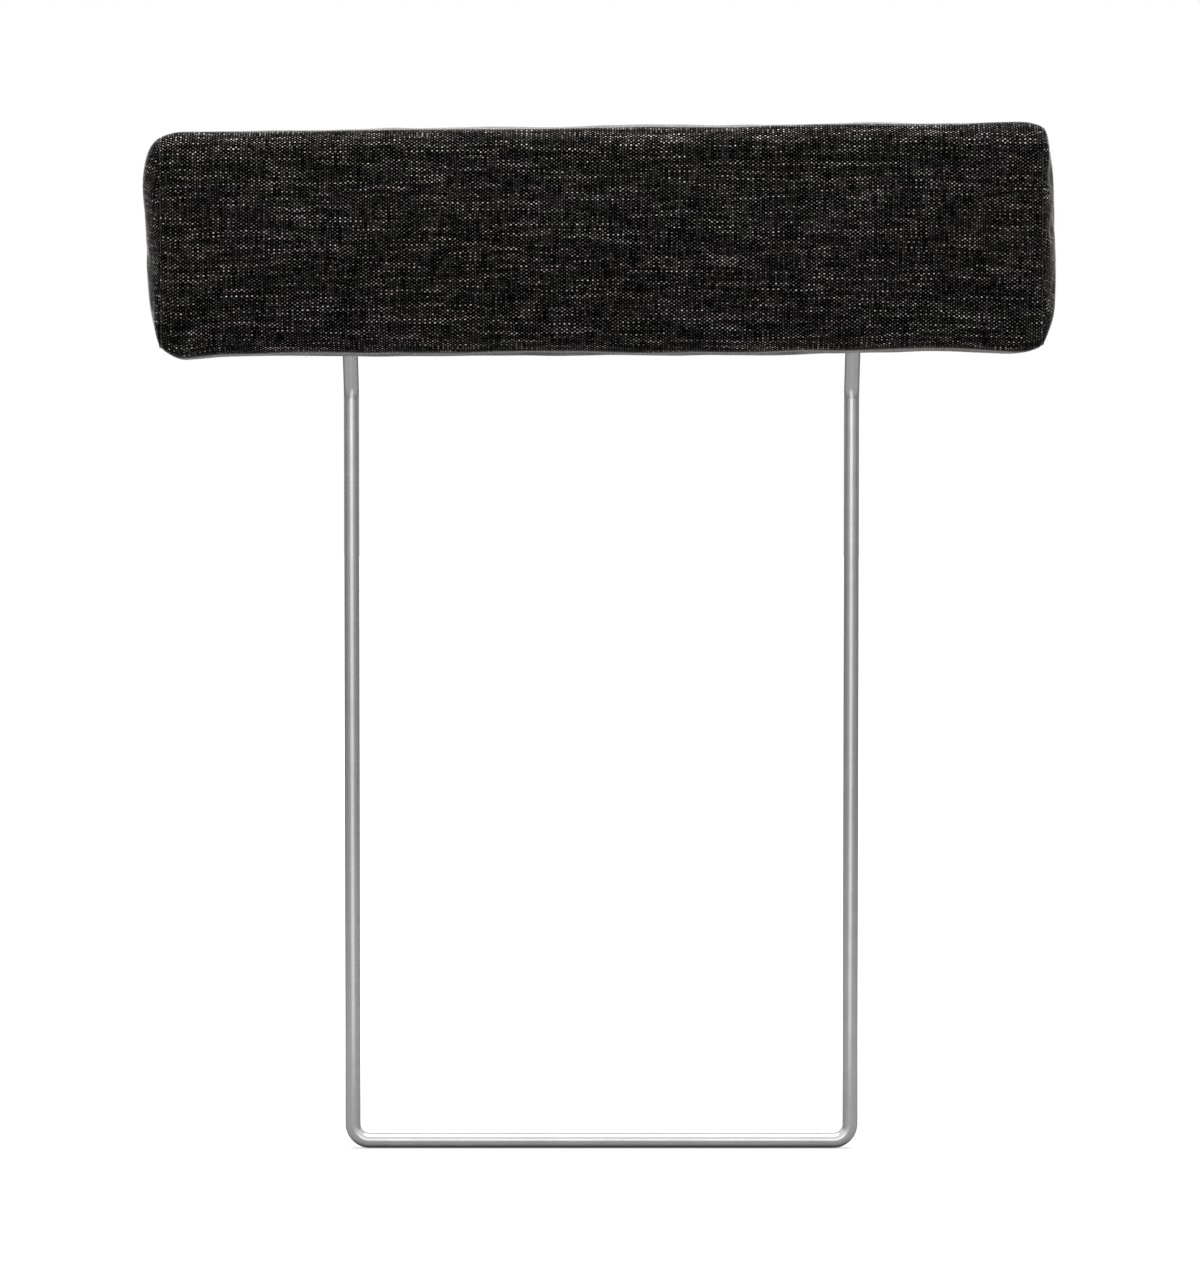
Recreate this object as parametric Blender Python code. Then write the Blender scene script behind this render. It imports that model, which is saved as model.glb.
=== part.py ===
"""Neck cushion for a sofa, on a U-shaped frame of bent steel rod.

Metres, +Z up, the front facing -Y. The origin is at the middle of the bottom bar's underside.
Run it with blender --background --python part.py, or from the text editor.
"""
import math

import bmesh
import bpy
import numpy as np
from mathutils import Vector

# Gaps
CLEARANCE = 0.0003
FABRIC_HOLE_CLEARANCE = 0.0006

# Rod frame
ROD_RADIUS = 0.005
ROD_SIDES = 16
LEG_SPACING = 0.330
CRANK_HEIGHT = 0.502
CRANK_LEAN_DEG = 30.0
CRANK_OFFSET = 0.030
CRANK_BEND_RADIUS = 0.020
BOTTOM_BEND_RADIUS = 0.011
ROD_TOP_MARGIN = 0.020

# Cushion outline
CUSHION_GAP = 0.022
CUSHION_LENGTH = 0.570
CUSHION_HEIGHT = 0.150
CUSHION_DEPTH = 0.085
ROD_SETBACK = 0.006
EDGE_RADIUS = 0.014
INNER_EDGE_RADIUS = 0.001
END_BULGE = 0.015
DOME_POWER = 3.0
CROWN_POWER = 4
FRONT_CROWN = 0.005
TOP_CROWN = 0.002
CORNER_DROP = 0.002
CORNER_DROP_INSET = 0.020
CORNER_DROP_WIDTH = 0.030

# Layers of the cushion
COVER_THICKNESS = 0.0012
WADDING_THICKNESS = 0.008

# Backing board, its saddles and screws
BOARD_THICKNESS = 0.012
BOARD_END_MARGIN = 0.015
BOARD_BOTTOM_MARGIN = 0.020
BOARD_CAP_GAP = 0.001
BOARD_BEVEL = 0.0015
SADDLE_THICKNESS = 0.0015
SADDLE_WIDTH = 0.014
SADDLE_EAR = 0.012
SADDLE_GAP = 0.006
SCREW_RADIUS = 0.00175
SCREW_HEAD_RADIUS = 0.0036
SCREW_HEAD_TOP_RADIUS = 0.0027
SCREW_HEAD_HEIGHT = 0.0022
SCREW_HEAD_RIM = 0.0010
SCREW_GRIP = 0.009
SCREW_TIP = 0.002
SCREW_TIP_RADIUS = 0.0004
SCREW_SIDES = 12
RECESS_SPAN = 0.0036
RECESS_SLOT = 0.0009
RECESS_DEPTH = 0.0012
CAP_WALL = 0.0012
CAP_LENGTH = 0.012

# Zip in the back of the cover
ZIP_RISE = 0.002
ZIP_END_MARGIN = 0.035
TAPE_WIDTH = 0.012
TAPE_THICKNESS = 0.0007
TAPE_GAP = 0.0014
TAPE_OVERRUN = 0.010
COIL_WIDTH = 0.0022
COIL_THICKNESS = 0.0016
STOP_LENGTH = 0.0025
STOP_LIP = 0.0003
SLIDER_LENGTH = 0.011
SLIDER_WIDTH = 0.0090
SLIDER_PLATE = 0.0010
SLIDER_FLANGE = 0.0010
SLIDER_END_GAP = 0.0005
SLOT_MARGIN = 0.0007
BRIDGE_LENGTH = 0.0070
BRIDGE_WIDTH = 0.0022
BRIDGE_BAR = 0.0012
BRIDGE_OPENING = 0.0020
PULL_LENGTH = 0.026
PULL_WIDTH = 0.0070
PULL_THICKNESS = 0.0011
PULL_WINDOW_CLEARANCE = 0.0005

# Fineness of the meshes
LENGTH_SPANS = 16
CORNER_STEPS = 4
FRONT_POINTS = 5
TOP_POINTS = 3
BACK_POINTS = 1
DOME_STEPS = 6
BEND_STEPS = 8
CRANK_STEPS = 4
CUT_OVERRUN = 0.010
SHARP_ANGLE_DEG = 35.0

# Places worked out from the sizes above
ROD_CORNER_RADIUS = ROD_RADIUS / math.cos(math.pi / ROD_SIDES)
LEG_X = LEG_SPACING / 2
CRANK_RISE = CRANK_OFFSET / math.tan(math.radians(CRANK_LEAN_DEG))
CRANK_TANGENT = CRANK_BEND_RADIUS * math.tan(math.radians(CRANK_LEAN_DEG) / 2)
CUSHION_BASE = CRANK_HEIGHT + CUSHION_GAP
CUSHION_TOP = CUSHION_BASE + CUSHION_HEIGHT
HALF_LENGTH = CUSHION_LENGTH / 2
CUSHION_MID_Y = -CRANK_OFFSET - ROD_SETBACK
CUSHION_MID_Z = CUSHION_BASE + CUSHION_HEIGHT / 2
CUSHION_BACK = CUSHION_MID_Y + CUSHION_DEPTH / 2
CUSHION_FRONT = CUSHION_MID_Y - CUSHION_DEPTH / 2
ROD_END_Z = CUSHION_TOP - ROD_TOP_MARGIN
WADDING_INSET = COVER_THICKNESS + CLEARANCE
FOAM_INSET = WADDING_INSET + WADDING_THICKNESS + CLEARANCE
BOARD_BACK = -CRANK_OFFSET - ROD_RADIUS - CLEARANCE
BOARD_FRONT = BOARD_BACK - BOARD_THICKNESS
BOARD_HALF_LENGTH = HALF_LENGTH - BOARD_END_MARGIN
BOARD_BOTTOM = CUSHION_BASE + BOARD_BOTTOM_MARGIN
BOARD_TOP = ROD_END_Z - CAP_LENGTH - BOARD_CAP_GAP
SADDLE_HOLLOW = ROD_CORNER_RADIUS + CLEARANCE
SADDLE_REACH = SADDLE_HOLLOW + SADDLE_THICKNESS + SADDLE_EAR
SADDLE_HOLE_X = SADDLE_HOLLOW + SADDLE_THICKNESS + SADDLE_EAR / 2
LOWER_SADDLE_Z = CRANK_HEIGHT + CRANK_RISE + CRANK_TANGENT + SADDLE_GAP + SADDLE_WIDTH / 2
UPPER_SADDLE_Z = ROD_END_Z - CAP_LENGTH - SADDLE_GAP - SADDLE_WIDTH / 2
EAR_FACE = BOARD_BACK + CLEARANCE + SADDLE_THICKNESS
HEAD_FACE = EAR_FACE + CLEARANCE
CAP_HOLLOW = ROD_CORNER_RADIUS + CLEARANCE
CAP_RADIUS = CAP_HOLLOW + CAP_WALL
ZIP_Z = CUSHION_BASE + TOP_CROWN + EDGE_RADIUS + TAPE_WIDTH + TAPE_GAP / 2 + ZIP_RISE
SLOT_HALF_LENGTH = HALF_LENGTH - ZIP_END_MARGIN
SLOT_HALF_HEIGHT = SLIDER_WIDTH / 2 + SLOT_MARGIN
TAPE_OUTER = CUSHION_BACK - COVER_THICKNESS - CLEARANCE
TAPE_INNER = TAPE_OUTER - TAPE_THICKNESS
COIL_BACK = TAPE_OUTER + CLEARANCE
COIL_FACE = COIL_BACK + COIL_THICKNESS
COIL_EDGE = TAPE_GAP / 2 + COIL_WIDTH
COIL_HALF_LENGTH = SLOT_HALF_LENGTH - STOP_LENGTH - CLEARANCE
PLATE_UNDER = COIL_FACE + CLEARANCE
PLATE_TOP = PLATE_UNDER + SLIDER_PLATE
LOWER_PLATE_TOP = TAPE_INNER - CLEARANCE
LOWER_PLATE_UNDER = LOWER_PLATE_TOP - SLIDER_PLATE
SLIDER_X = -(COIL_HALF_LENGTH - SLIDER_END_GAP - SLIDER_LENGTH / 2)
BRIDGE_TOP = PLATE_TOP + BRIDGE_OPENING + BRIDGE_BAR
PULL_AXIS_Y = PLATE_TOP + BRIDGE_OPENING / 2

# Colours, roughness and metallic value of each material
STEEL = ("satin_steel", (0.62, 0.62, 0.62), 0.22, 1.0)
TWEED = ("tweed_fabric", (0.055, 0.052, 0.050), 0.95, 0.0)
WADDING = ("polyester_wadding", (0.82, 0.82, 0.80), 1.0, 0.0)
FOAM = ("cushion_foam", (0.78, 0.74, 0.58), 0.95, 0.0)
PLYWOOD = ("plywood", (0.58, 0.42, 0.25), 0.7, 0.0)
ZINC = ("zinc_plated_steel", (0.60, 0.60, 0.58), 0.35, 1.0)
CAP_PLASTIC = ("black_plastic", (0.03, 0.03, 0.03), 0.5, 0.0)
ZIP_CLOTH = ("zip_tape_cloth", (0.020, 0.020, 0.020), 0.9, 0.0)
ZIP_NYLON = ("zip_coil_nylon", (0.025, 0.025, 0.025), 0.4, 0.0)
ZIP_METAL = ("zip_metal", (0.10, 0.10, 0.10), 0.35, 1.0)


def clear_scene():
    """Remove every object that is already in the scene."""
    for old in list(bpy.data.objects):
        bpy.data.objects.remove(old, do_unlink=True)


def get_material(finish):
    """The Principled material of one finish, made the first time it is asked for."""
    name, colour, roughness, metallic = finish
    found = bpy.data.materials.get(name)
    if found:
        return found
    made = bpy.data.materials.new(name)
    made.use_nodes = True
    shader = made.node_tree.nodes["Principled BSDF"]
    shader.inputs["Base Color"].default_value = (*colour, 1.0)
    shader.inputs["Roughness"].default_value = roughness
    shader.inputs["Metallic"].default_value = metallic
    made.diffuse_color = (*colour, 1.0)
    return made


def add_object(name, bm, finish, smooth=True):
    """Turn a bmesh into a named object with its material and shading."""
    bmesh.ops.recalc_face_normals(bm, faces=bm.faces)
    mesh = bpy.data.meshes.new(name)
    bm.to_mesh(mesh)
    bm.free()
    if smooth:
        mesh.shade_smooth()
        mesh.set_sharp_from_angle(angle=math.radians(SHARP_ANGLE_DEG))
    made = bpy.data.objects.new(name, mesh)
    made.data.materials.append(get_material(finish))
    bpy.context.collection.objects.link(made)
    return made


def add_cutter(name, bm):
    """Turn a bmesh into a cutter, which is no piece of the part."""
    cutter = add_object("cutter_" + name, bm, ZINC, smooth=False)
    cutter.hide_render = True
    cutter.display_type = "WIRE"
    return cutter


def boolean(target, cutter, operation="DIFFERENCE"):
    """Cut a cutter out of a piece, or join it on."""
    modifier = target.modifiers.new(cutter.name, "BOOLEAN")
    modifier.operation = operation
    modifier.solver = "EXACT"
    modifier.object = cutter


def bridge(bm, near, far, layered):
    """Faces between two rings; on a layer of the cushion their diagonals all run the same way."""
    if near[0].co.x > far[0].co.x:
        near, far = far, near
    for i in range(len(near)):
        j = (i + 1) % len(near)
        if layered:
            bm.faces.new((near[i], near[j], far[j]))
            bm.faces.new((near[i], far[j], far[i]))
        else:
            bm.faces.new((near[i], near[j], far[j], far[i]))


def loft(rings, layered=False):
    """A closed body through rings of points, with a flat cap on the first and the last ring."""
    bm = bmesh.new()
    loops = [[bm.verts.new(point) for point in ring] for ring in rings]
    for near, far in zip(loops, loops[1:]):
        bridge(bm, near, far, layered)
    bm.faces.new(loops[0])
    bm.faces.new(loops[-1])
    return bm


def box(low, high):
    """A box between two corners."""
    bm = bmesh.new()
    bmesh.ops.create_cube(bm, size=1.0)
    middle = (Vector(low) + Vector(high)) / 2
    size = Vector(high) - Vector(low)
    for vert in bm.verts:
        vert.co = Vector((vert.co.x * size.x, vert.co.y * size.y, vert.co.z * size.z)) + middle
    return bm


def prism(outline, start, end, place):
    """An outline of (a, b) pairs drawn out from start to end; place turns (a, b, c) into a point."""
    near = [place(a, b, start) for a, b in outline]
    far = [place(a, b, end) for a, b in outline]
    return loft([near, far])


def turned(profile, origin, axis, across, sides):
    """A turned body: rings of (radius, height) along axis, their facets square to across."""
    axis = Vector(axis).normalized()
    first = Vector(across).normalized()
    second = axis.cross(first)
    rings = []
    for radius, height in profile:
        centre = Vector(origin) + axis * height
        ring = []
        for k in range(sides):
            angle = (k + 0.5) * 2 * math.pi / sides
            ring.append(centre + radius * (math.cos(angle) * first + math.sin(angle) * second))
        rings.append(ring)
    return loft(rings)


def rounded_path(corners, radii, steps):
    """Points and directions along straight runs joined by arcs of the given radii."""
    corners = [Vector(corner) for corner in corners]
    runs = [(b - a).normalized() for a, b in zip(corners, corners[1:])]
    path = [(corners[0], runs[0])]
    for corner, before, after, radius, count in zip(corners[1:], runs, runs[1:], radii, steps):
        turn = before.angle(after)
        inward = (after - before * math.cos(turn)).normalized()
        start = corner - before * radius * math.tan(turn / 2)
        centre = start + inward * radius
        for step in range(count + 1):
            angle = turn * step / count
            point = centre + radius * (math.sin(angle) * before - math.cos(angle) * inward)
            path.append((point, math.cos(angle) * before + math.sin(angle) * inward))
    path.append((corners[-1], runs[-1]))
    return path


def swept_rod(path, flat_radius):
    """A rod of flat sides along a path, its section carried round each bend without a twist."""
    corner_radius = flat_radius / math.cos(math.pi / ROD_SIDES)
    first = Vector((1, 0, 0))
    before = path[0][1]
    rings = []
    for point, direction in path:
        first = before.rotation_difference(direction) @ first
        second = direction.cross(first)
        before = direction
        ring = []
        for k in range(ROD_SIDES):
            angle = (k + 0.5) * 2 * math.pi / ROD_SIDES
            spoke = math.cos(angle) * first + math.sin(angle) * second
            ring.append(point + corner_radius * spoke)
        rings.append(ring)
    return loft(rings)


def leg_corners(side):
    """Corner points of one leg from its cut end down to the bottom bar; side is -1 or 1."""
    x = side * LEG_X
    return [
        (x, -CRANK_OFFSET, ROD_END_Z),
        (x, -CRANK_OFFSET, CRANK_HEIGHT + CRANK_RISE),
        (x, 0.0, CRANK_HEIGHT),
        (x, 0.0, ROD_RADIUS),
    ]


def rod_frame():
    """The one bent rod: left leg, bottom bar and right leg."""
    corners = leg_corners(-1) + leg_corners(1)[::-1]
    leg_radii = [CRANK_BEND_RADIUS, CRANK_BEND_RADIUS, BOTTOM_BEND_RADIUS]
    leg_steps = [CRANK_STEPS, CRANK_STEPS, BEND_STEPS]
    path = rounded_path(corners, leg_radii + leg_radii[::-1], leg_steps + leg_steps[::-1])
    add_object("steel_rod_frame", swept_rod(path, ROD_RADIUS), STEEL)


def rod_passage(side, clearance):
    """Cutter along the stretch of a leg that runs inside the cushion."""
    corners = leg_corners(side)[:3]
    path = rounded_path(corners, [CRANK_BEND_RADIUS], [CRANK_STEPS])
    return add_cutter("rod_passage", swept_rod(path, ROD_RADIUS + clearance))


def end_cap(side, name):
    """Plastic cap pushed over the cut end of a leg, open downwards."""
    x = side * LEG_X
    chamfer = CAP_WALL / 2
    ceiling = CAP_LENGTH
    profile = [
        (CAP_HOLLOW, ceiling),
        (CAP_HOLLOW, 0.0),
        (CAP_RADIUS, 0.0),
        (CAP_RADIUS, ceiling + CAP_WALL - chamfer),
        (CAP_RADIUS - chamfer, ceiling + CAP_WALL),
    ]
    origin = (x, -CRANK_OFFSET, ROD_END_Z + CLEARANCE - CAP_LENGTH)
    add_object(name, turned(profile, origin, (0, 0, 1), (1, 0, 0), ROD_SIDES), CAP_PLASTIC)


def cap_pocket(side):
    """Cutter that leaves room for an end cap in the foam."""
    profile = [
        (CAP_RADIUS + CLEARANCE, -CLEARANCE),
        (CAP_RADIUS + CLEARANCE, CAP_LENGTH + CAP_WALL + 2 * CLEARANCE),
    ]
    origin = (side * LEG_X, -CRANK_OFFSET, ROD_END_Z - CAP_LENGTH)
    return add_cutter("cap_pocket", turned(profile, origin, (0, 0, 1), (1, 0, 0), ROD_SIDES))


def saddle_outline():
    """Section of a saddle as (x, y) pairs about the rod's axis: two ears and an arch."""
    foot = BOARD_BACK + CLEARANCE + CRANK_OFFSET
    face = foot + SADDLE_THICKNESS
    crown = SADDLE_HOLLOW + SADDLE_THICKNESS
    angles = [math.pi * k / (ROD_SIDES // 2) for k in range(ROD_SIDES // 2 + 1)]
    inner = [(-SADDLE_HOLLOW * math.cos(a), SADDLE_HOLLOW * math.sin(a)) for a in angles]
    outer = [(crown * math.cos(a), crown * math.sin(a)) for a in angles]
    under = [(-SADDLE_REACH, foot), (-SADDLE_HOLLOW, foot)]
    under += inner
    under += [(SADDLE_HOLLOW, foot), (SADDLE_REACH, foot)]
    over = [(SADDLE_REACH, face), (crown, face)]
    over += outer
    over += [(-crown, face), (-SADDLE_REACH, face)]
    return under + over


def screw_places(x, z):
    """The two screw axes of the saddle at x, z, as (x, z)."""
    return [(x + side * SADDLE_HOLE_X, z) for side in (-1, 1)]


def screw_hole(x, z, depth):
    """Cutter for the hole of one screw, from behind the ear to depth inside the board."""
    radius = SCREW_RADIUS + CLEARANCE
    profile = [(radius, -CUT_OVERRUN), (radius, depth)]
    return add_cutter(
        "screw_hole", turned(profile, (x, EAR_FACE, z), (0, -1, 0), (1, 0, 0), SCREW_SIDES))


def saddle(x, z, name):
    """Bent steel strap that holds a leg against the board."""
    def place(a, b, c):
        return Vector((x + a, b - CRANK_OFFSET, c))
    low = z - SADDLE_WIDTH / 2
    made = add_object(name, prism(saddle_outline(), low, low + SADDLE_WIDTH, place), ZINC)
    for hole_x, hole_z in screw_places(x, z):
        boolean(made, screw_hole(hole_x, hole_z, SADDLE_THICKNESS + CUT_OVERRUN))


def screw(x, z, name):
    """Pan-head wood screw with a cross recess, its axis along Y."""
    shank = SADDLE_THICKNESS + 2 * CLEARANCE + SCREW_GRIP
    profile = [
        (SCREW_TIP_RADIUS, shank),
        (SCREW_RADIUS, shank - SCREW_TIP),
        (SCREW_RADIUS, 0.0),
        (SCREW_HEAD_RADIUS, 0.0),
        (SCREW_HEAD_RADIUS, -SCREW_HEAD_RIM),
        (SCREW_HEAD_TOP_RADIUS, -SCREW_HEAD_HEIGHT),
    ]
    made = add_object(
        name, turned(profile, (x, HEAD_FACE, z), (0, -1, 0), (1, 0, 0), SCREW_SIDES), ZINC)
    arm = RECESS_SPAN / 2
    slot = RECESS_SLOT / 2
    outline = [
        (slot, slot), (slot, arm), (-slot, arm), (-slot, slot), (-arm, slot), (-arm, -slot),
        (-slot, -slot), (-slot, -arm), (slot, -arm), (slot, -slot), (arm, -slot), (arm, slot),
    ]

    def place(a, b, c):
        return Vector((x + a, c, z + b))
    head_top = HEAD_FACE + SCREW_HEAD_HEIGHT
    recess = prism(outline, head_top - RECESS_DEPTH, head_top + RECESS_DEPTH, place)
    boolean(made, add_cutter("cross_recess", recess))


def saddle_places():
    """Name ending, x and z of every saddle."""
    places = []
    for level, z in (("lower", LOWER_SADDLE_Z), ("upper", UPPER_SADDLE_Z)):
        for word, side in (("left", -1), ("right", 1)):
            places.append((level + "_" + word, side * LEG_X, z))
    return places


def board():
    """Plywood board in front of the legs, with a pilot hole for each screw."""
    low = (-BOARD_HALF_LENGTH, BOARD_FRONT, BOARD_BOTTOM)
    high = (BOARD_HALF_LENGTH, BOARD_BACK, BOARD_TOP)
    made = add_object("backing_board", box(low, high), PLYWOOD, smooth=False)
    bevel = made.modifiers.new("edges", "BEVEL")
    bevel.width = BOARD_BEVEL
    bevel.segments = 1
    for _, x, z in saddle_places():
        for hole_x, hole_z in screw_places(x, z):
            depth = SADDLE_THICKNESS + 2 * CLEARANCE + SCREW_GRIP + CLEARANCE
            boolean(made, screw_hole(hole_x, hole_z, depth))


def fastenings():
    """Saddles, screws and end caps."""
    for word, x, z in saddle_places():
        saddle(x, z, "rod_saddle_" + word)
        for number, (screw_x, screw_z) in enumerate(screw_places(x, z), start=1):
            screw(screw_x, screw_z, "saddle_screw_" + word + "_" + str(number))
    end_cap(-1, "rod_end_cap_left")
    end_cap(1, "rod_end_cap_right")


def swell(fraction):
    """Height of a soft swelling across a side, 0 at its two edges and 1 in its middle."""
    return math.cos(math.pi * (fraction - 0.5)) ** 2


def corner_drop(x):
    """How far the underside hangs lower near the two ends."""
    away = abs(x) - (HALF_LENGTH - CORNER_DROP_INSET)
    return CORNER_DROP * math.exp(-(away / CORNER_DROP_WIDTH) ** 2)


def section(x, inset):
    """Outline of the cushion at x as (y, z) pairs, every side moved inwards by inset."""
    puff = 1.0 - (abs(x) / HALF_LENGTH) ** CROWN_POWER
    radius = max(EDGE_RADIUS - inset, INNER_EDGE_RADIUS)
    front = CUSHION_FRONT + FRONT_CROWN + inset
    back = CUSHION_BACK - inset
    base = CUSHION_BASE + TOP_CROWN - corner_drop(x) + inset
    top = CUSHION_TOP - TOP_CROWN - inset
    sides = [
        ((front, base), (0, -1), (1, 0), back - front, TOP_CROWN, TOP_POINTS),
        ((back, base), (1, 0), (0, 1), top - base, 0.0, BACK_POINTS),
        ((back, top), (0, 1), (-1, 0), back - front, TOP_CROWN, TOP_POINTS),
        ((front, top), (-1, 0), (0, -1), top - base, FRONT_CROWN, FRONT_POINTS),
    ]
    outline = []
    for (y, z), out, along, length, crown, count in sides:
        run = length - 2 * radius
        for k in range(1, count + 1):
            fraction = k / (count + 1)
            ahead = radius + run * fraction
            lift = crown * puff * swell(fraction)
            outline.append((y + along[0] * ahead + out[0] * lift, z + along[1] * ahead + out[1] * lift))
        centre_y = y + along[0] * (length - radius) - out[0] * radius
        centre_z = z + along[1] * (length - radius) - out[1] * radius
        for k in range(CORNER_STEPS + 1):
            angle = math.pi / 2 * k / CORNER_STEPS
            reach_out = radius * math.cos(angle)
            reach_on = radius * math.sin(angle)
            outline.append((
                centre_y + out[0] * reach_out + along[0] * reach_on,
                centre_z + out[1] * reach_out + along[1] * reach_on))
    return outline


def stations():
    """Places along X of the cushion's sections, closer together towards the two ends."""
    turns = np.linspace(-math.pi / 2, math.pi / 2, LENGTH_SPANS + 1)
    return [float(x) for x in HALF_LENGTH * np.sin(turns)]


def section_ring(x, inset):
    """The cushion's outline at x as points."""
    return [Vector((x, y, z)) for y, z in section(x, inset)]


def tube(outer_inset, inner_inset):
    """A layer of the cushion between two insets, open at both ends."""
    outer = [section_ring(x, outer_inset) for x in stations()]
    inner = [section_ring(x, inner_inset) for x in stations()]
    bm = bmesh.new()
    loops = [[bm.verts.new(point) for point in ring] for ring in outer + inner[::-1]]
    for near, far in zip(loops, loops[1:] + loops[:1]):
        bridge(bm, near, far, layered=True)
    return bm


def dome_rings(side, inset, bulge):
    """Rings of a bulged end, from the seam to its middle."""
    rings = []
    for step in range(DOME_STEPS):
        turn = math.pi / 2 * step / DOME_STEPS
        spread = math.cos(turn) ** (2 / DOME_POWER)
        lift = math.sin(turn) ** (2 / DOME_POWER)
        x = side * (HALF_LENGTH + CLEARANCE + bulge * lift)
        ring = []
        for y, z in section(HALF_LENGTH, inset):
            ring.append(Vector((
                x,
                CUSHION_MID_Y + spread * (y - CUSHION_MID_Y),
                CUSHION_MID_Z + spread * (z - CUSHION_MID_Z))))
        rings.append(ring)
    return rings


def end_panel(side, name):
    """Bulged fabric panel that closes one end of the cover."""
    outer = dome_rings(side, 0.0, END_BULGE)
    inner = dome_rings(side, COVER_THICKNESS, END_BULGE - COVER_THICKNESS)
    add_object(name, loft(outer[::-1] + inner, layered=True), TWEED)


def end_wadding(side, name):
    """Pad of wadding that fills one end panel."""
    rings = dome_rings(side, WADDING_INSET, END_BULGE - WADDING_INSET)
    add_object(name, loft(rings, layered=True), WADDING)


def foam_block(name, low_y, high_y):
    """The part of the foam body that lies between two planes across Y."""
    rings = [section_ring(x, FOAM_INSET) for x in stations()]
    made = add_object(name, loft(rings, layered=True), FOAM)
    reach = HALF_LENGTH + CUT_OVERRUN
    bottom = CUSHION_BASE - CUT_OVERRUN
    top = CUSHION_TOP + CUT_OVERRUN
    if low_y is not None:
        waste = box((-reach, CUSHION_FRONT - CUT_OVERRUN, bottom), (reach, low_y, top))
        boolean(made, add_cutter("foam_waste", waste))
    if high_y is not None:
        waste = box((-reach, high_y, bottom), (reach, CUSHION_BACK + CUT_OVERRUN, top))
        boolean(made, add_cutter("foam_waste", waste))
    return made


def foams():
    """Front block, and back block with pockets for the board, saddles, screws, rods and caps."""
    foam_block("front_foam", None, BOARD_FRONT - CLEARANCE)
    back = foam_block("back_foam", BOARD_FRONT, None)
    reach = BOARD_HALF_LENGTH + CLEARANCE
    low = (-reach, BOARD_FRONT - CUT_OVERRUN, BOARD_BOTTOM - CLEARANCE)
    high = (reach, BOARD_BACK + CLEARANCE, BOARD_TOP + CLEARANCE)
    boolean(back, add_cutter("board_pocket", box(low, high)))
    for side in (-1, 1):
        boolean(back, rod_passage(side, CLEARANCE))
        boolean(back, cap_pocket(side))
    saddle_back = -CRANK_OFFSET + SADDLE_HOLLOW + SADDLE_THICKNESS + CLEARANCE
    for _, x, z in saddle_places():
        reach = SADDLE_REACH + CLEARANCE
        half = SADDLE_WIDTH / 2 + CLEARANCE
        pocket = box((x - reach, BOARD_BACK - CLEARANCE, z - half), (x + reach, saddle_back, z + half))
        boolean(back, add_cutter("saddle_pocket", pocket))


def zip_slot():
    """Cutter for the slot in the cover that shows the zip."""
    low = (-SLOT_HALF_LENGTH, TAPE_OUTER, ZIP_Z - SLOT_HALF_HEIGHT)
    high = (SLOT_HALF_LENGTH, CUSHION_BACK + CUT_OVERRUN, ZIP_Z + SLOT_HALF_HEIGHT)
    return add_cutter("zip_slot", box(low, high))


def zip_channel():
    """Cutter for the room behind the zip in the wadding."""
    reach = SLOT_HALF_LENGTH + TAPE_OVERRUN + CLEARANCE
    half = TAPE_GAP / 2 + TAPE_WIDTH + CLEARANCE
    low = (-reach, LOWER_PLATE_UNDER - CLEARANCE, ZIP_Z - half)
    high = (reach, CUSHION_BACK + CUT_OVERRUN, ZIP_Z + half)
    return add_cutter("zip_channel", box(low, high))


def cover_and_wadding():
    """The fabric cover's three panels and the wadding inside them."""
    panel = add_object("cover_main_panel", tube(0.0, COVER_THICKNESS), TWEED)
    boolean(panel, zip_slot())
    wrap = add_object("wadding_wrap", tube(WADDING_INSET, WADDING_INSET + WADDING_THICKNESS), WADDING)
    boolean(wrap, zip_channel())
    for side, word in ((-1, "left"), (1, "right")):
        passage = rod_passage(side, FABRIC_HOLE_CLEARANCE)
        boolean(panel, passage)
        boolean(wrap, passage)
        end_panel(side, "cover_end_" + word)
        end_wadding(side, "wadding_end_" + word)


def zip_half(side, word):
    """Tape, coil and end stop of one half of the zip; side is 1 above and -1 below."""
    inner = ZIP_Z + side * TAPE_GAP / 2
    outer = inner + side * TAPE_WIDTH
    coil_edge = inner + side * COIL_WIDTH
    stop_edge = coil_edge + side * STOP_LIP
    reach = SLOT_HALF_LENGTH + TAPE_OVERRUN
    pieces = [
        ("zip_tape_", ZIP_CLOTH, (-reach, TAPE_INNER, min(inner, outer)),
         (reach, TAPE_OUTER, max(inner, outer))),
        ("zip_coil_", ZIP_NYLON, (-COIL_HALF_LENGTH, COIL_BACK, min(inner, coil_edge)),
         (COIL_HALF_LENGTH, COIL_FACE, max(inner, coil_edge))),
        ("zip_stop_", ZIP_METAL, (-SLOT_HALF_LENGTH + CLEARANCE / 2, COIL_BACK, min(inner, stop_edge)),
         (-COIL_HALF_LENGTH - CLEARANCE / 2, COIL_FACE + STOP_LIP, max(inner, stop_edge))),
    ]
    for start, finish, low, high in pieces:
        add_object(start + word, box(low, high), finish, smooth=False)


def zip_bottom_stop():
    """Stop across both halves at the open end of the zip."""
    half = COIL_EDGE + STOP_LIP
    low = (COIL_HALF_LENGTH + CLEARANCE / 2, COIL_BACK, ZIP_Z - half)
    high = (SLOT_HALF_LENGTH - CLEARANCE / 2, COIL_FACE + STOP_LIP, ZIP_Z + half)
    add_object("zip_stop_bottom", box(low, high), ZIP_METAL, smooth=False)


def rebase(piece, origin):
    """Move a piece's origin to a point and leave its surface where it is."""
    shift = Vector(origin)
    for vert in piece.data.vertices:
        vert.co -= shift
    piece.location = shift


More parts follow.
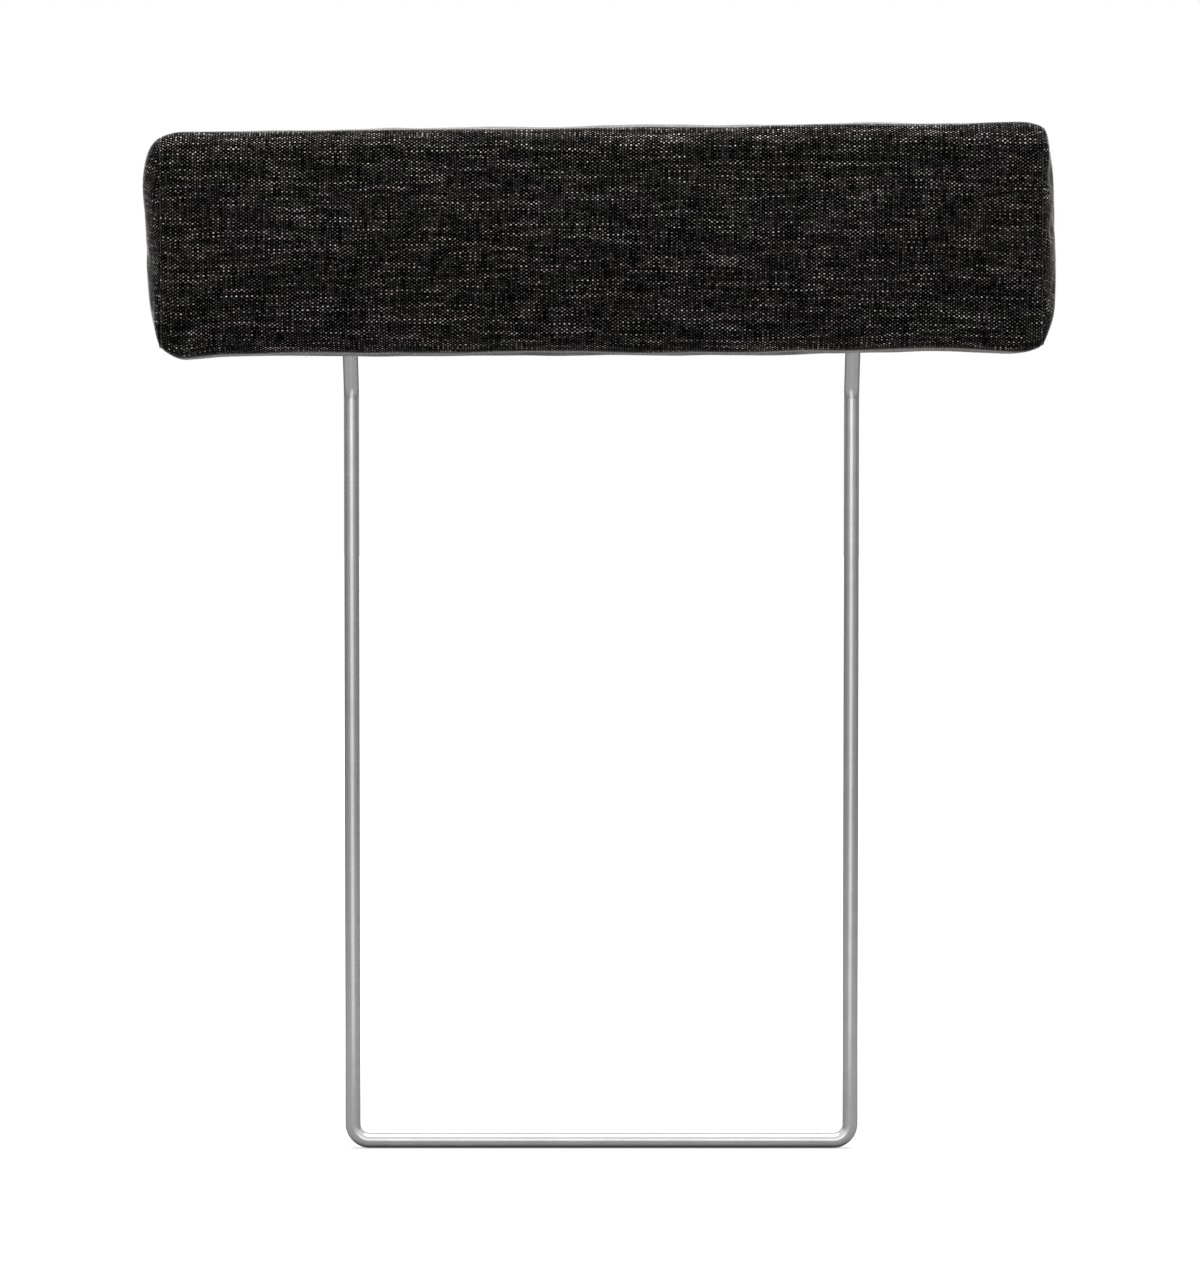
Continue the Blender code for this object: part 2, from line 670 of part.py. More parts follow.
def zip_slider():
    """Slider body of two plates and a web, with the bridge that holds the pull."""
    half = SLIDER_WIDTH / 2
    inside = half - SLIDER_FLANGE
    web = TAPE_GAP / 2 - CLEARANCE
    lip = TAPE_OUTER + CLEARANCE
    right = [
        (web, LOWER_PLATE_TOP), (half, LOWER_PLATE_TOP), (half, LOWER_PLATE_UNDER),
    ]
    upper = [
        (half, PLATE_TOP), (half, lip), (inside, lip), (inside, PLATE_UNDER), (web, PLATE_UNDER),
    ]
    outline = upper + right
    outline += [(-a, b) for a, b in outline[::-1]]

    def place(a, b, c):
        return Vector((c, b, ZIP_Z + a))
    start = SLIDER_X - SLIDER_LENGTH / 2
    body = add_object("zip_slider", prism(outline, start, start + SLIDER_LENGTH, place), ZIP_METAL)
    foot = PLATE_TOP - SLIDER_PLATE / 2
    long = BRIDGE_LENGTH / 2
    short = long - BRIDGE_BAR
    under = PLATE_TOP + BRIDGE_OPENING
    arch = [
        (-long, foot), (-short, foot), (-short, under), (short, under),
        (short, foot), (long, foot), (long, BRIDGE_TOP), (-long, BRIDGE_TOP),
    ]

    def stand(a, b, c):
        return Vector((SLIDER_X + a, b, c))
    low = ZIP_Z - BRIDGE_WIDTH / 2
    boolean(body, add_cutter("bridge", prism(arch, low, low + BRIDGE_WIDTH, stand)), "UNION")
    rebase(body, (SLIDER_X, PLATE_UNDER, ZIP_Z))


def zip_pull():
    """Flat pull tab with a window that the slider's bridge passes through."""
    bar = PULL_THICKNESS / 2
    half = PULL_WIDTH / 2
    chamfer = half / 2
    diagonal = math.hypot(BRIDGE_LENGTH / 2, BRIDGE_TOP - PULL_AXIS_Y)
    window_end = diagonal + PULL_WINDOW_CLEARANCE
    window_half = BRIDGE_WIDTH / 2 + PULL_WINDOW_CLEARANCE
    outline = [
        (-bar, -half), (PULL_LENGTH - chamfer, -half), (PULL_LENGTH, -half + chamfer),
        (PULL_LENGTH, half - chamfer), (PULL_LENGTH - chamfer, half), (-bar, half),
    ]

    def place(a, b, c):
        return Vector((SLIDER_X + a, c, ZIP_Z + b))
    tab = add_object(
        "zip_pull", prism(outline, PULL_AXIS_Y - bar, PULL_AXIS_Y + bar, place), ZIP_METAL, smooth=False)
    low = (SLIDER_X + bar, PULL_AXIS_Y - CUT_OVERRUN, ZIP_Z - window_half)
    high = (SLIDER_X + window_end, PULL_AXIS_Y + CUT_OVERRUN, ZIP_Z + window_half)
    boolean(tab, add_cutter("pull_window", box(low, high)))
    rebase(tab, (SLIDER_X, PULL_AXIS_Y, ZIP_Z))


def zip_pieces():
    """The whole zip."""
    zip_half(1, "upper")
    zip_half(-1, "lower")
    zip_bottom_stop()
    zip_slider()
    zip_pull()


def main():
    """Build the headrest."""
    clear_scene()
    rod_frame()
    board()
    fastenings()
    foams()
    cover_and_wadding()
    zip_pieces()


main()
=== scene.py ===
import math

import bpy
import bmesh
import numpy as np
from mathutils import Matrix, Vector


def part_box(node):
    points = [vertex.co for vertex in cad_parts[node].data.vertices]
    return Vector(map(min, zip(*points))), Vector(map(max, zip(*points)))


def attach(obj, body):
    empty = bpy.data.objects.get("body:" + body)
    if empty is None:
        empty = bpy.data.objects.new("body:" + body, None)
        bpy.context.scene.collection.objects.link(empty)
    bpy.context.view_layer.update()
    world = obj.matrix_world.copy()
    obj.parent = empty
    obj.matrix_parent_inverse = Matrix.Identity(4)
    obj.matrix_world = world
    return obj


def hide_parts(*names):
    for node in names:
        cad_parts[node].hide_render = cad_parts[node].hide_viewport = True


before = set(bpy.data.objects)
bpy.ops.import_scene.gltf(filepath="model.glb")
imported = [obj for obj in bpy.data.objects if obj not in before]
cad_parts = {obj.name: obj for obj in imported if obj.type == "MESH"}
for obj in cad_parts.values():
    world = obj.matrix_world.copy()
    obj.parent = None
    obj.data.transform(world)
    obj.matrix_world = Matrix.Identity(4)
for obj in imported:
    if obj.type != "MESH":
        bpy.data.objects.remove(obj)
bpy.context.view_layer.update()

bl_info = {
    "name": "Sofa headrest",
    "version": (1, 0, 0),
    "blender": (4, 5, 0),
    "location": "3D View > Sidebar > Headrest",
    "description": "Neck cushion in tweed on a bent steel rod frame, with its padding, zip and studio",
    "category": "Object",
}

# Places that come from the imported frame, in metres.
PANEL_LOW, PANEL_HIGH = (np.array(corner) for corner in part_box("cover_main_panel"))
ROD_LOW, ROD_HIGH = (np.array(corner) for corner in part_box("steel_rod_frame"))
TAPE_LOW, TAPE_HIGH = (np.array(corner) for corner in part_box("zip_tape_upper"))
COIL_LOW, COIL_HIGH = (np.array(corner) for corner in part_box("zip_coil_upper"))
LOWER_COIL_HIGH = np.array(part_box("zip_coil_lower")[1])

# The rod: its legs lean forwards between the crank's two heights.
ROD_RADIUS = 0.005
CRANK_Z, CRANK_TOP_Z = 0.502, 0.55396
CRANK_LEAN = math.radians(30)
LEG_X = (ROD_HIGH[0] - ROD_LOW[0]) / 2 - ROD_RADIUS
ROD_TOP_Y = ROD_LOW[1] + ROD_RADIUS
ROD_TOP_Z = ROD_HIGH[2]

# Half widths of the holes that the rods go in by, and what subdividing leaves of a ring of eight points.
PANEL_HOLE, WADDING_HOLE, RING_SHRINK = 0.0060, 0.0066, 0.902

# The cushion without its crowns, and the zip's slot in its back.
FRONT_CROWN, TOP_CROWN = 0.005, 0.002
EDGE_RADIUS = 0.014
HALF_LENGTH = PANEL_HIGH[0]
BACK_Y = PANEL_HIGH[1]
FRONT_Y = PANEL_LOW[1] + FRONT_CROWN
BASE_Z = 0.524 + TOP_CROWN
ROOF_Z = PANEL_HIGH[2] - TOP_CROWN
MID_Y, MID_Z = (PANEL_LOW[1] + PANEL_HIGH[1]) / 2, 0.599
HALF_HEIGHT = 0.075
END_MID_Y = (FRONT_Y + BACK_Y) / 2
ZIP_Z = (COIL_LOW[2] + LOWER_COIL_HIGH[2]) / 2
SLOT_HALF_LENGTH, SLOT_HALF_HEIGHT = 0.250, 0.0052

# Lengths round the cushion's cross-section, from the zip.
RUN_DEPTH = BACK_Y - FRONT_Y - 2 * EDGE_RADIUS
RUN_HEIGHT = ROOF_Z - BASE_Z - 2 * EDGE_RADIUS
CORNER_RUN = EDGE_RADIUS * math.pi / 2
BACK_DROP = ZIP_Z - BASE_Z - EDGE_RADIUS
AROUND = 2 * (RUN_DEPTH + RUN_HEIGHT) + 4 * CORNER_RUN
UNDER_START = BACK_DROP + CORNER_RUN

# The bulged ends: half axes of their rounding's ellipse, and how deep the seam lies in it.
END_REACH, END_ROUND = 0.0268, 0.0262
SEAM_DROP, SEAM_GAP = 0.0030, 0.0003
SEAM_BACK = END_REACH * math.sqrt(1 - (1 - SEAM_DROP / END_ROUND) ** 2)
# Places of an end's rings in the simulation, from 0 at the seam towards 1 in the middle.
END_RINGS = np.array([0.0, 0.06, 0.14, 0.25, 0.38, 0.52, 0.67, 0.82, 0.94])
SIDES = ((-1, "left"), (1, "right"))


# ---------------------------------------------------------------- settings

def amount(name, description, default, low=0.0, high=1e6, **kind):
    """A number that can be set."""
    return bpy.props.FloatProperty(name=name, description=description, default=default, min=low, max=high, **kind)


def length(name, description, default, low, high):
    """A length that can be set."""
    return amount(name, description, default, low, high, precision=5, unit="LENGTH")


def shade(name, description, default):
    """A colour that can be set."""
    return bpy.props.FloatVectorProperty(
        name=name, description=description, default=default, min=0.0, max=1.0, size=3, subtype="COLOR")


class HeadrestCushionSettings(bpy.types.PropertyGroup):
    """Sizes and colours of the padded cushion."""
    seam_radius: length("Seam radius", "Radius that the fabric turns in with at a seam", 0.0009, 0.0003, 0.006)
    seam_depth: length("Seam depth", "How deep the fabric's edge is turned in at a seam", 0.0030, 0.001, 0.010)
    fabric_thickness: length("Fabric thickness", "Thickness of the cover's cloth", 0.0012, 0.0003, 0.003)
    grid_step: length("Grid step", "Distance between the fabric's points before it is subdivided",
                      0.0058, 0.003, 0.015)
    pressure: amount("Stuffing pressure", "Pressure that fills the cover in the cloth simulation", 4.0, 0.0, 20.0)
    puff_limit: length("Puff limit", "The furthest that the simulation may move the fabric", 0.0032, 0.0, 0.02)
    pucker: length("Pucker", "Height of the small gathers beside the seams", 0.0005, 0.0, 0.003)
    warp_pitch: length("Warp pitch", "Distance between the upright yarns", 0.00164, 0.0005, 0.01)
    weft_pitch: length("Weft pitch", "Distance between the lengthwise yarns", 0.00113, 0.0005, 0.01)
    dark_yarn: shade("Dark yarn", "Colour of the black yarns", (0.0004, 0.0004, 0.0004))
    light_yarn: shade("Light yarn", "Colour of the brightest flecks", (0.80, 0.76, 0.73))


class HeadrestFrameSettings(bpy.types.PropertyGroup):
    """Sizes and colours of the bent rod."""
    sides: bpy.props.IntProperty(
        name="Sides", description="Number of faces round the rod", default=32, min=8, max=96)
    crank_radius: length("Crank radius", "Bend radius of the rod's crank below the cushion", 0.020, 0.006, 0.05)
    corner_radius: length("Corner radius", "Bend radius of the rod's two bottom corners", 0.011, 0.006, 0.05)
    steel: shade("Steel", "Colour of the satin steel", (0.40, 0.40, 0.401))


class HeadrestZipSettings(bpy.types.PropertyGroup):
    """Sizes and colours of the zip and its stitching."""
    coil_pitch: length("Coil pitch", "Distance between the zip's teeth", 0.00125, 0.0005, 0.004)
    stitch_length: length("Stitch length", "Length of one topstitch", 0.0027, 0.001, 0.008)
    stitch_gap: length("Stitch gap", "Gap between two topstitches", 0.0007, 0.0002, 0.004)
    thread: shade("Thread", "Colour of the sewing thread", (0.02, 0.02, 0.02))


class HeadrestStageSettings(bpy.types.PropertyGroup):
    """Place of the camera and strength of the lamps."""
    camera_distance: length("Camera distance", "Distance from the camera to the frame's middle", 3.5, 0.5, 20.0)
    camera_tilt: amount("Camera tilt", "Angle that the camera looks down by", math.radians(2.75), -1.5, 1.5,
                        subtype="ANGLE")
    aim_height: length("Aim height", "Height of the point that the camera looks at", 0.340, 0.0, 2.0)
    aim_side: length("Aim side", "Sideways place of the point that the camera looks at", -0.001, -1.0, 1.0)
    lens: amount("Lens", "Focal length for a 36 mm film side", 149.7, 10.0, 500.0)
    front_lamp: amount("Front lamp", "Power of the wide soft lamp beside the camera", 13.5, unit="POWER")
    top_lamp: amount("Top lamp", "Power of the wide lamp overhead", 95.0, unit="POWER")
    world_strength: amount("World strength", "Strength of the even light from all round", 0.55)


# ---------------------------------------------------------------- meshes

def grid_faces(rows, columns, wrap=False):
    """Corner numbers of every cell of a grid of rows by columns points; wrap joins the last column to the first."""
    row = np.arange(rows - 1)[:, None]
    near = np.arange(columns if wrap else columns - 1)[None, :]
    far = (near + 1) % columns
    cells = np.broadcast_arrays(
        row * columns + near, row * columns + far, (row + 1) * columns + far, (row + 1) * columns + near)
    return np.stack(cells, axis=-1).reshape(-1, 4)


def make_piece(name, points, faces, uv=None, smooth=True):
    """New object from an array of points and an array of faces, with an optional weave map of one pair a corner."""
    points = np.asarray(points, float).reshape(-1, 3)
    mesh = bpy.data.meshes.new(name)
    mesh.from_pydata(points.tolist(), [], [list(map(int, face)) for face in faces])
    if uv is not None:
        layer = mesh.uv_layers.new(name="weave")
        layer.data.foreach_set("uv", np.asarray(uv, np.float32).reshape(-1))
    mesh.polygons.foreach_set("use_smooth", np.full(len(mesh.polygons), smooth))
    mesh.update()
    mesh.validate()
    piece = bpy.data.objects.new(name, mesh)
    bpy.context.scene.collection.objects.link(piece)
    return piece


def volume(points, faces):
    """Signed volume within four-cornered faces, positive where they face outwards."""
    a, b, c, d = (points[faces[:, k]] for k in range(4))
    first = np.einsum("ij,ij->i", a, np.cross(b, c))
    second = np.einsum("ij,ij->i", a, np.cross(c, d))
    return float((first + second).sum() / 6)


def facing_out(points, faces):
    """The faces, turned round if they face inwards."""
    return faces[:, ::-1] if volume(points, faces) < 0 else faces


def open_edges(faces):
    """Directed edges that belong to one face only."""
    loops = np.stack([faces, np.roll(faces, -1, axis=1)], axis=-1).reshape(-1, 2)
    _, index, counts = np.unique(np.sort(loops, axis=1), axis=0, return_inverse=True, return_counts=True)
    return loops[counts[index.reshape(-1)] == 1]


def shell(outer, inner, faces):
    """Closed wall between two surfaces with the same faces: the inner one is turned round and the rims are joined."""
    count = len(outer)
    rim = open_edges(faces)
    walls = np.stack([rim[:, 1], rim[:, 0], rim[:, 0] + count, rim[:, 1] + count], axis=1)
    return np.concatenate([outer, inner]), np.concatenate([faces, faces[:, ::-1] + count, walls])


def spaced(marks, step):
    """Rising places that include every mark, and between two marks are at most one step apart."""
    marks = np.unique(np.round(marks, 7))
    runs = [np.linspace(a, b, max(1, math.ceil((b - a) / step - 0.2)), endpoint=False)
            for a, b in zip(marks[:-1], marks[1:])]
    return np.concatenate(runs + [marks[-1:]])


def carried(path, across, lift, profile):
    """A closed profile carried along a path: point = path + a * across + b * lift, for each (a, b) of the profile.

    One flat face closes each end."""
    points = path[:, None, :] + profile[None, :, :1] * across[:, None, :] + profile[None, :, 1:] * lift[:, None, :]
    rows, sides = points.shape[:2]
    flat = points.reshape(-1, 3)
    faces = facing_out(flat, grid_faces(rows, sides, wrap=True)).tolist()
    first, last = list(range(sides)), list(range((rows - 1) * sides, rows * sides))
    if faces[0][(faces[0].index(0) + 1) % 4] == 1:
        first.reverse()
    else:
        last.reverse()
    return flat, faces + [first, last]


def circle(radius, sides, squeeze=1.0):
    """Points of a circle, flattened across by squeeze."""
    turn = 2 * np.pi * np.arange(sides) / sides
    return np.stack([radius * np.cos(turn), radius * squeeze * np.sin(turn)], axis=1)


def unit(vectors):
    """The vectors of an array, each made one long."""
    return vectors / np.linalg.norm(vectors, axis=1, keepdims=True)


def smooth_step(value):
    """0 below 0, 1 above 1 and 3 v^2 - 2 v^3 between."""
    value = np.clip(value, 0.0, 1.0)
    return value * value * (3 - 2 * value)


def ripple(u, v, seed, scale, count=24):
    """Smooth random field between about -1 and 1: a sum of cosines whose directions and phases come from seed."""
    rng = np.random.default_rng(seed)
    turn, phase = rng.uniform(0, 2 * np.pi, (2, count))
    rate = 2 * np.pi / scale * rng.uniform(0.45, 1.25, count)
    waves = np.cos(u[..., None] * rate * np.cos(turn) + v[..., None] * rate * np.sin(turn) + phase)
    return waves.sum(axis=-1) * math.sqrt(2.0 / count) / 1.6


def weave_corners(faces, u, v, around=None):
    """Weave map of a grid: each corner takes its own place, and one in a cell that closes the wrap adds a whole
    round."""
    places = np.stack([u.reshape(-1)[faces], v.reshape(-1)[faces]], axis=-1)
    if around is not None:
        jump = places[:, :, 1].max(axis=1) - places[:, :, 1].min(axis=1) > around / 2
        low = places[:, :, 1] < around / 2
        places[:, :, 1] += np.where(jump[:, None] & low, around, 0.0)
    return places.reshape(-1, 2)


# ---------------------------------------------------------------- cushion

def outline(v):
    """The cushion's cross-section by the distance v round it, from the zip down the back, under and up the front.

    It is a rectangle with four quarter circles: y and z on it, the direction outwards, and on each straight side
    the fraction passed, with a number for the side (0 under, 1 front, 2 top, 3 back)."""
    v = np.mod(np.asarray(v, float), AROUND)
    starts = np.cumsum([0, BACK_DROP, CORNER_RUN, RUN_DEPTH, CORNER_RUN, RUN_HEIGHT, CORNER_RUN, RUN_DEPTH, CORNER_RUN])
    piece = np.searchsorted(starts, v, side="right") - 1
    passed = v - starts[piece]
    low, high = BASE_Z + EDGE_RADIUS, ROOF_Z - EDGE_RADIUS
    near, far = FRONT_Y + EDGE_RADIUS, BACK_Y - EDGE_RADIUS
    # For each of the nine stretches: its corner's middle, the angle of the outward direction and the way it runs.
    centre_y = np.array([far, far, far, near, near, near, near, far, far])[piece]
    centre_z = np.array([ZIP_Z, low, low, low, low, high, high, high, high])[piece]
    start = np.array([0.0, 0.0, -90.0, -90.0, -180.0, -180.0, -270.0, -270.0, -360.0])[piece]
    angle = np.radians(start) - np.where(piece % 2 == 1, passed / EDGE_RADIUS, 0.0)
    out_y, out_z = np.cos(angle), np.sin(angle)
    way_y = np.array([0, 0, -1, 0, 0, 0, 1, 0, 0])[piece]
    way_z = np.array([-1, 0, 0, 0, 1, 0, 0, 0, -1])[piece]
    y = centre_y + EDGE_RADIUS * out_y + way_y * passed
    z = centre_z + EDGE_RADIUS * out_z + way_z * passed
    sides = [piece == 2, piece == 4, piece == 6]
    side = np.select(sides, [0, 1, 2], 3)
    fraction = np.select(sides, [passed / RUN_DEPTH, passed / RUN_HEIGHT, passed / RUN_DEPTH], 0.0)
    return y, z, out_y, out_z, side, fraction


def outwards(v):
    """Direction out of the cross-section at v."""
    out_y, out_z = outline(v)[2:4]
    return np.stack([np.zeros_like(out_y), out_y, out_z], axis=-1)


def from_zip(v):
    """Distance round the section from the zip, the shorter way."""
    v = np.mod(v, AROUND)
    return np.minimum(v, AROUND - v)


def sag(x, z, v):
    """How far the fabric sits above or below the plain box, as in the photograph.

    The top rises to the right by about 0.7 degrees. The underside is level, rises by 3 mm past the right leg and
    hangs lower in a lobe near each end. Between them the shift is shared out by height. Near the zip there is none."""
    top = 0.0122 * x + 0.0009 + 0.0004 * np.exp(-((x + 0.22) / 0.06) ** 2)
    right = smooth_step((x - 0.085) / 0.11)
    lobes = 0.0027 * np.exp(-((x + 0.276) / 0.017) ** 2) + 0.0011 * np.exp(-((x - 0.270) / 0.022) ** 2)
    middle = 0.0012 * np.exp(-((x + 0.01) / 0.13) ** 2)
    under = 0.0003 + middle + 0.0029 * right - lobes - 0.0007 * np.exp(-((np.abs(x) - 0.265) / 0.030) ** 2)
    under = under + 0.0024 * smooth_step((-x - 0.274) / 0.011)
    share = np.clip((ROOF_Z - EDGE_RADIUS - z) / RUN_HEIGHT, 0.0, 1.0)
    return (share * under + (1 - share) * top) * (1 - np.exp(-(from_zip(v) / 0.024) ** 4))


def crown(x, v):
    """Height of the soft swelling of each side: its crown times cos^2 across it, fading to the two ends."""
    side, fraction = outline(v)[4:]
    height = np.select([side == 1, side == 3], [FRONT_CROWN, 0.0], TOP_CROWN)
    across = np.where(fraction > 0, np.cos(np.pi * (fraction - 0.5)) ** 2, 0.0)
    return height * across * (1 - np.minimum(np.abs(x) / HALF_LENGTH, 1.0) ** 4)


def cushion_surface(x, v, height):
    """Point of the wrapped panel at x and v, moved outwards by height."""
    y, z, out_y, out_z = outline(v)[:4]
    rise = crown(x, v) + height
    return np.stack([x, y + rise * out_y, z + rise * out_z + sag(x, z, v)], axis=-1)


def end_round(distance):
    """How far the wrapped panel has turned in at a distance from its seam: the start of an ellipse that goes on
    over the end. Its half width along X is END_REACH and its half height END_ROUND."""
    start = np.clip((SEAM_BACK - distance) / END_REACH, 0.0, 1.0)
    return END_ROUND * (1 - np.sqrt(1 - start ** 2))


def end_slimming(side, fraction):
    """How much less than the full bulge an end has at a height, from -1 at its foot to 1 at its top.

    The foot's corner is rounder by 0.03 m times the square of how far the height is below -0.62."""
    corners = 0.03 * np.maximum(-fraction - 0.62, 0) ** 2
    if side < 0:
        bulge = 0.0011 * np.exp(-((fraction - 0.5) / 0.18) ** 2)
        return 0.0038 - 0.0026 * fraction - bulge + 0.0012 * np.minimum(fraction, 0) ** 2 + corners
    return 0.0048 + 0.0028 * fraction ** 2 + 0.0007 * np.sin(3.2 * fraction) + corners


def end_surface(side, ring, v, deeper=0.0):
    """Point of a bulged end. ring runs from 0 at the seam to 1 in the middle.

    The outline shrinks by 40 mm times ring across, and by as much at first and then faster in height, to a point.
    It moves out by an ellipse of the distance from the cushion's edge, and is flat further in."""
    seam = cushion_surface(np.full_like(v, side * HALF_LENGTH), v, np.zeros_like(v) - SEAM_DROP - deeper)
    half_y, half_z = (BACK_Y - FRONT_Y) / 2, (ROOF_Z - BASE_Z) / 2
    passed = half_y * ring
    shrink_z = 1 - (passed + (half_z - half_y) * ring ** 4) / half_z
    y = END_MID_Y + (1 - ring) * (seam[..., 1] - END_MID_Y)
    z = MID_Z + shrink_z * (seam[..., 2] - MID_Z)
    away = np.clip(1 - (SEAM_DROP + passed) / END_ROUND, 0.0, 1.0)
    lift = (END_REACH * np.sqrt(1 - away ** 2) - SEAM_BACK) / (END_REACH - SEAM_BACK)
    reach = (END_REACH - SEAM_BACK - end_slimming(side, (z - MID_Z) / HALF_HEIGHT) - deeper) * lift
    return np.stack([side * (HALF_LENGTH + SEAM_GAP + reach), y, z], axis=-1)


def dome(points, side):
    """Closes the rings of an end with a pole: all points, the faces of the rings and the fan, facing outwards."""
    rows, columns = points.shape[:2]
    flat = points.reshape(-1, 3)
    flat = np.concatenate([flat, flat[-columns:].mean(axis=0)[None]])
    near = np.arange(columns) + (rows - 1) * columns
    parts = []
    for faces in (grid_faces(rows, columns, wrap=True),
                  np.stack([near, np.roll(near, -1), np.full(columns, rows * columns)], axis=1)):
        corner = flat[faces[:, 0]]
        normals = np.cross(flat[faces[:, 1]] - corner, flat[faces[:, -1]] - corner)
        parts.append(faces[:, ::-1] if normals[-columns:, 0].sum() * side < 0 else faces)
    return flat, parts[0], parts[1]


def blend_weights(places, knots):
    """Matrix that carries values at evenly spaced knots to other places with smooth cubic weights."""
    step = knots[1] - knots[0]
    at = np.clip((places - knots[0]) / step, 0, len(knots) - 1 - 1e-9)
    whole = at.astype(int)
    t = at - whole
    weights = np.zeros((len(places), len(knots)))
    parts = [(-t + 2 * t * t - t ** 3) / 2, (2 - 5 * t * t + 3 * t ** 3) / 2,
             (t + 4 * t * t - 3 * t ** 3) / 2, (t ** 3 - t * t) / 2]
    for offset, part in zip((-1, 0, 1, 2), parts):
        np.add.at(weights, (np.arange(len(places)), np.clip(whole + offset, 0, len(knots) - 1)), part)
    return weights


def spread(height, knots, places, knots_v, v):
    """A height field at knots and knots_v, which closes on itself round the section, carried to other places."""
    closed = np.concatenate([height, height[:, :1]], axis=1)
    return blend_weights(places, knots) @ closed @ blend_weights(v, np.append(knots_v, AROUND)).T


def stuffed(settings):
    """Fills the sewn cover in a cloth simulation and gives how far each point of its grid moved outwards.

    The cover is one closed cloth: the wrapped panel and its two ends. It is held at the seams, along the zip and
    round the rods, and pressure swells it for 16 frames. Gives the grid's lines, and the height fields of the
    panel and of the two ends."""
    rows, columns, rings, frames, hold = 73, 54, len(END_RINGS), 16, 0.012
    x = np.linspace(-HALF_LENGTH, HALF_LENGTH, rows)
    v = np.arange(columns) * AROUND / columns
    if settings.pressure == 0:
        return x, v, (np.zeros((rows, columns)), np.zeros((rings, columns)), np.zeros((rings, columns)))
    grid_x, grid_v = np.meshgrid(x, v, indexing="ij")
    panel = cushion_surface(grid_x, grid_v, -end_round(HALF_LENGTH - np.abs(grid_x)))
    ring_t, ring_v = np.meshgrid(END_RINGS[1:], v, indexing="ij")
    ends = [end_surface(side, ring_t, ring_v) for side in (-1, 1)]
    poles = [end[-1].mean(axis=0) + (side * 0.0002, 0, 0) for end, side in zip(ends, (-1, 1))]
    start = np.concatenate([ends[0][::-1].reshape(-1, 3), panel.reshape(-1, 3), ends[1].reshape(-1, 3), poles])
    total = rows + 2 * (rings - 1)
    faces = facing_out(start, grid_faces(total, columns, wrap=True))
    near = np.arange(columns)
    far = np.roll(near, -1)
    tail = (total - 1) * columns
    fans = [np.stack([near, far, np.full(columns, total * columns)], axis=1),
            np.stack([tail + far, tail + near, np.full(columns, total * columns + 1)], axis=1)]
    cloth = make_piece("cover_being_stuffed", start, faces.tolist() + np.concatenate(fans).tolist())
    gap = np.hypot(np.abs(grid_x) - LEG_X, grid_v - UNDER_START - 0.006)
    held = (np.abs(grid_x) > HALF_LENGTH - 1e-6) | (from_zip(grid_v) < hold) | (gap < hold)
    low = (rings - 1) * columns
    cloth.vertex_groups.new(name="held").add((np.flatnonzero(held.reshape(-1)) + low).tolist(), 1.0, "REPLACE")
    cover = cloth.modifiers.new("Stuffing", "CLOTH")
    for name, value in (("quality", 6), ("mass", 0.25), ("tension_stiffness", 20), ("compression_stiffness", 12),
                        ("shear_stiffness", 6), ("bending_stiffness", 0.6), ("vertex_group_mass", "held"),
                        ("shrink_min", -0.012), ("use_pressure", True),
                        ("uniform_pressure_force", settings.pressure)):
        setattr(cover.settings, name, value)
    cover.settings.effector_weights.gravity = 0
    cover.collision_settings.use_collision = False
    cover.point_cache.frame_start, cover.point_cache.frame_end = 1, frames + 4
    scene = bpy.context.scene
    for number in range(1, frames + 1):
        scene.frame_set(number)
    moved = np.empty(len(start) * 3)
    result = cloth.evaluated_get(bpy.context.evaluated_depsgraph_get())
    result.data.vertices.foreach_get("co", moved)
    scene.frame_set(1)
    bpy.data.objects.remove(cloth)
    shift = (moved.reshape(-1, 3) - start)[:-2]
    limit = settings.puff_limit
    outward = outwards(grid_v)
    high = low + rows * columns
    height = (shift[low:high].reshape(rows, columns, 3) * outward).sum(axis=-1)
    height = np.clip(height, -0.2 * limit, limit)
    height *= 0.12 + 0.88 * np.clip(-outward[..., 1], 0, 1) ** 2 + 0.4 * np.clip(outward[..., 1], 0, 1) ** 2
    heights = [height]
    for side, part in ((-1, shift[:low].reshape(rings - 1, columns, 3)[::-1]),
                       (1, shift[high:].reshape(rings - 1, columns, 3))):
        field = np.clip(part[..., 0] * side, -limit, limit) * 0.6
        heights.append(np.concatenate([np.zeros((1, columns)), field]))
    return x, v, tuple(heights)


def rolled(distance, radius):
    """How far a fabric edge is turned in at a distance from the seam: a quarter circle of that radius."""
    inside = np.clip(radius - distance, 0.0, radius)
    return radius - np.sqrt(radius ** 2 - inside ** 2)


def turned_under(rim, v, settings):
    """A seam's rim carried on inwards, as the hidden edge of the fabric."""
    return rim - (settings.seam_depth - settings.seam_radius) * outwards(v)


def rod_y(z):
    """The rod's axis in its sloping stretch, at a height."""
    return ROD_TOP_Y * (z - CRANK_Z) / (CRANK_TOP_Z - CRANK_Z)


# Distance round the section of the place where the rods go in.
ROD_HOLE_V = UNDER_START + (BACK_Y - EDGE_RADIUS) - rod_y(BASE_Z)


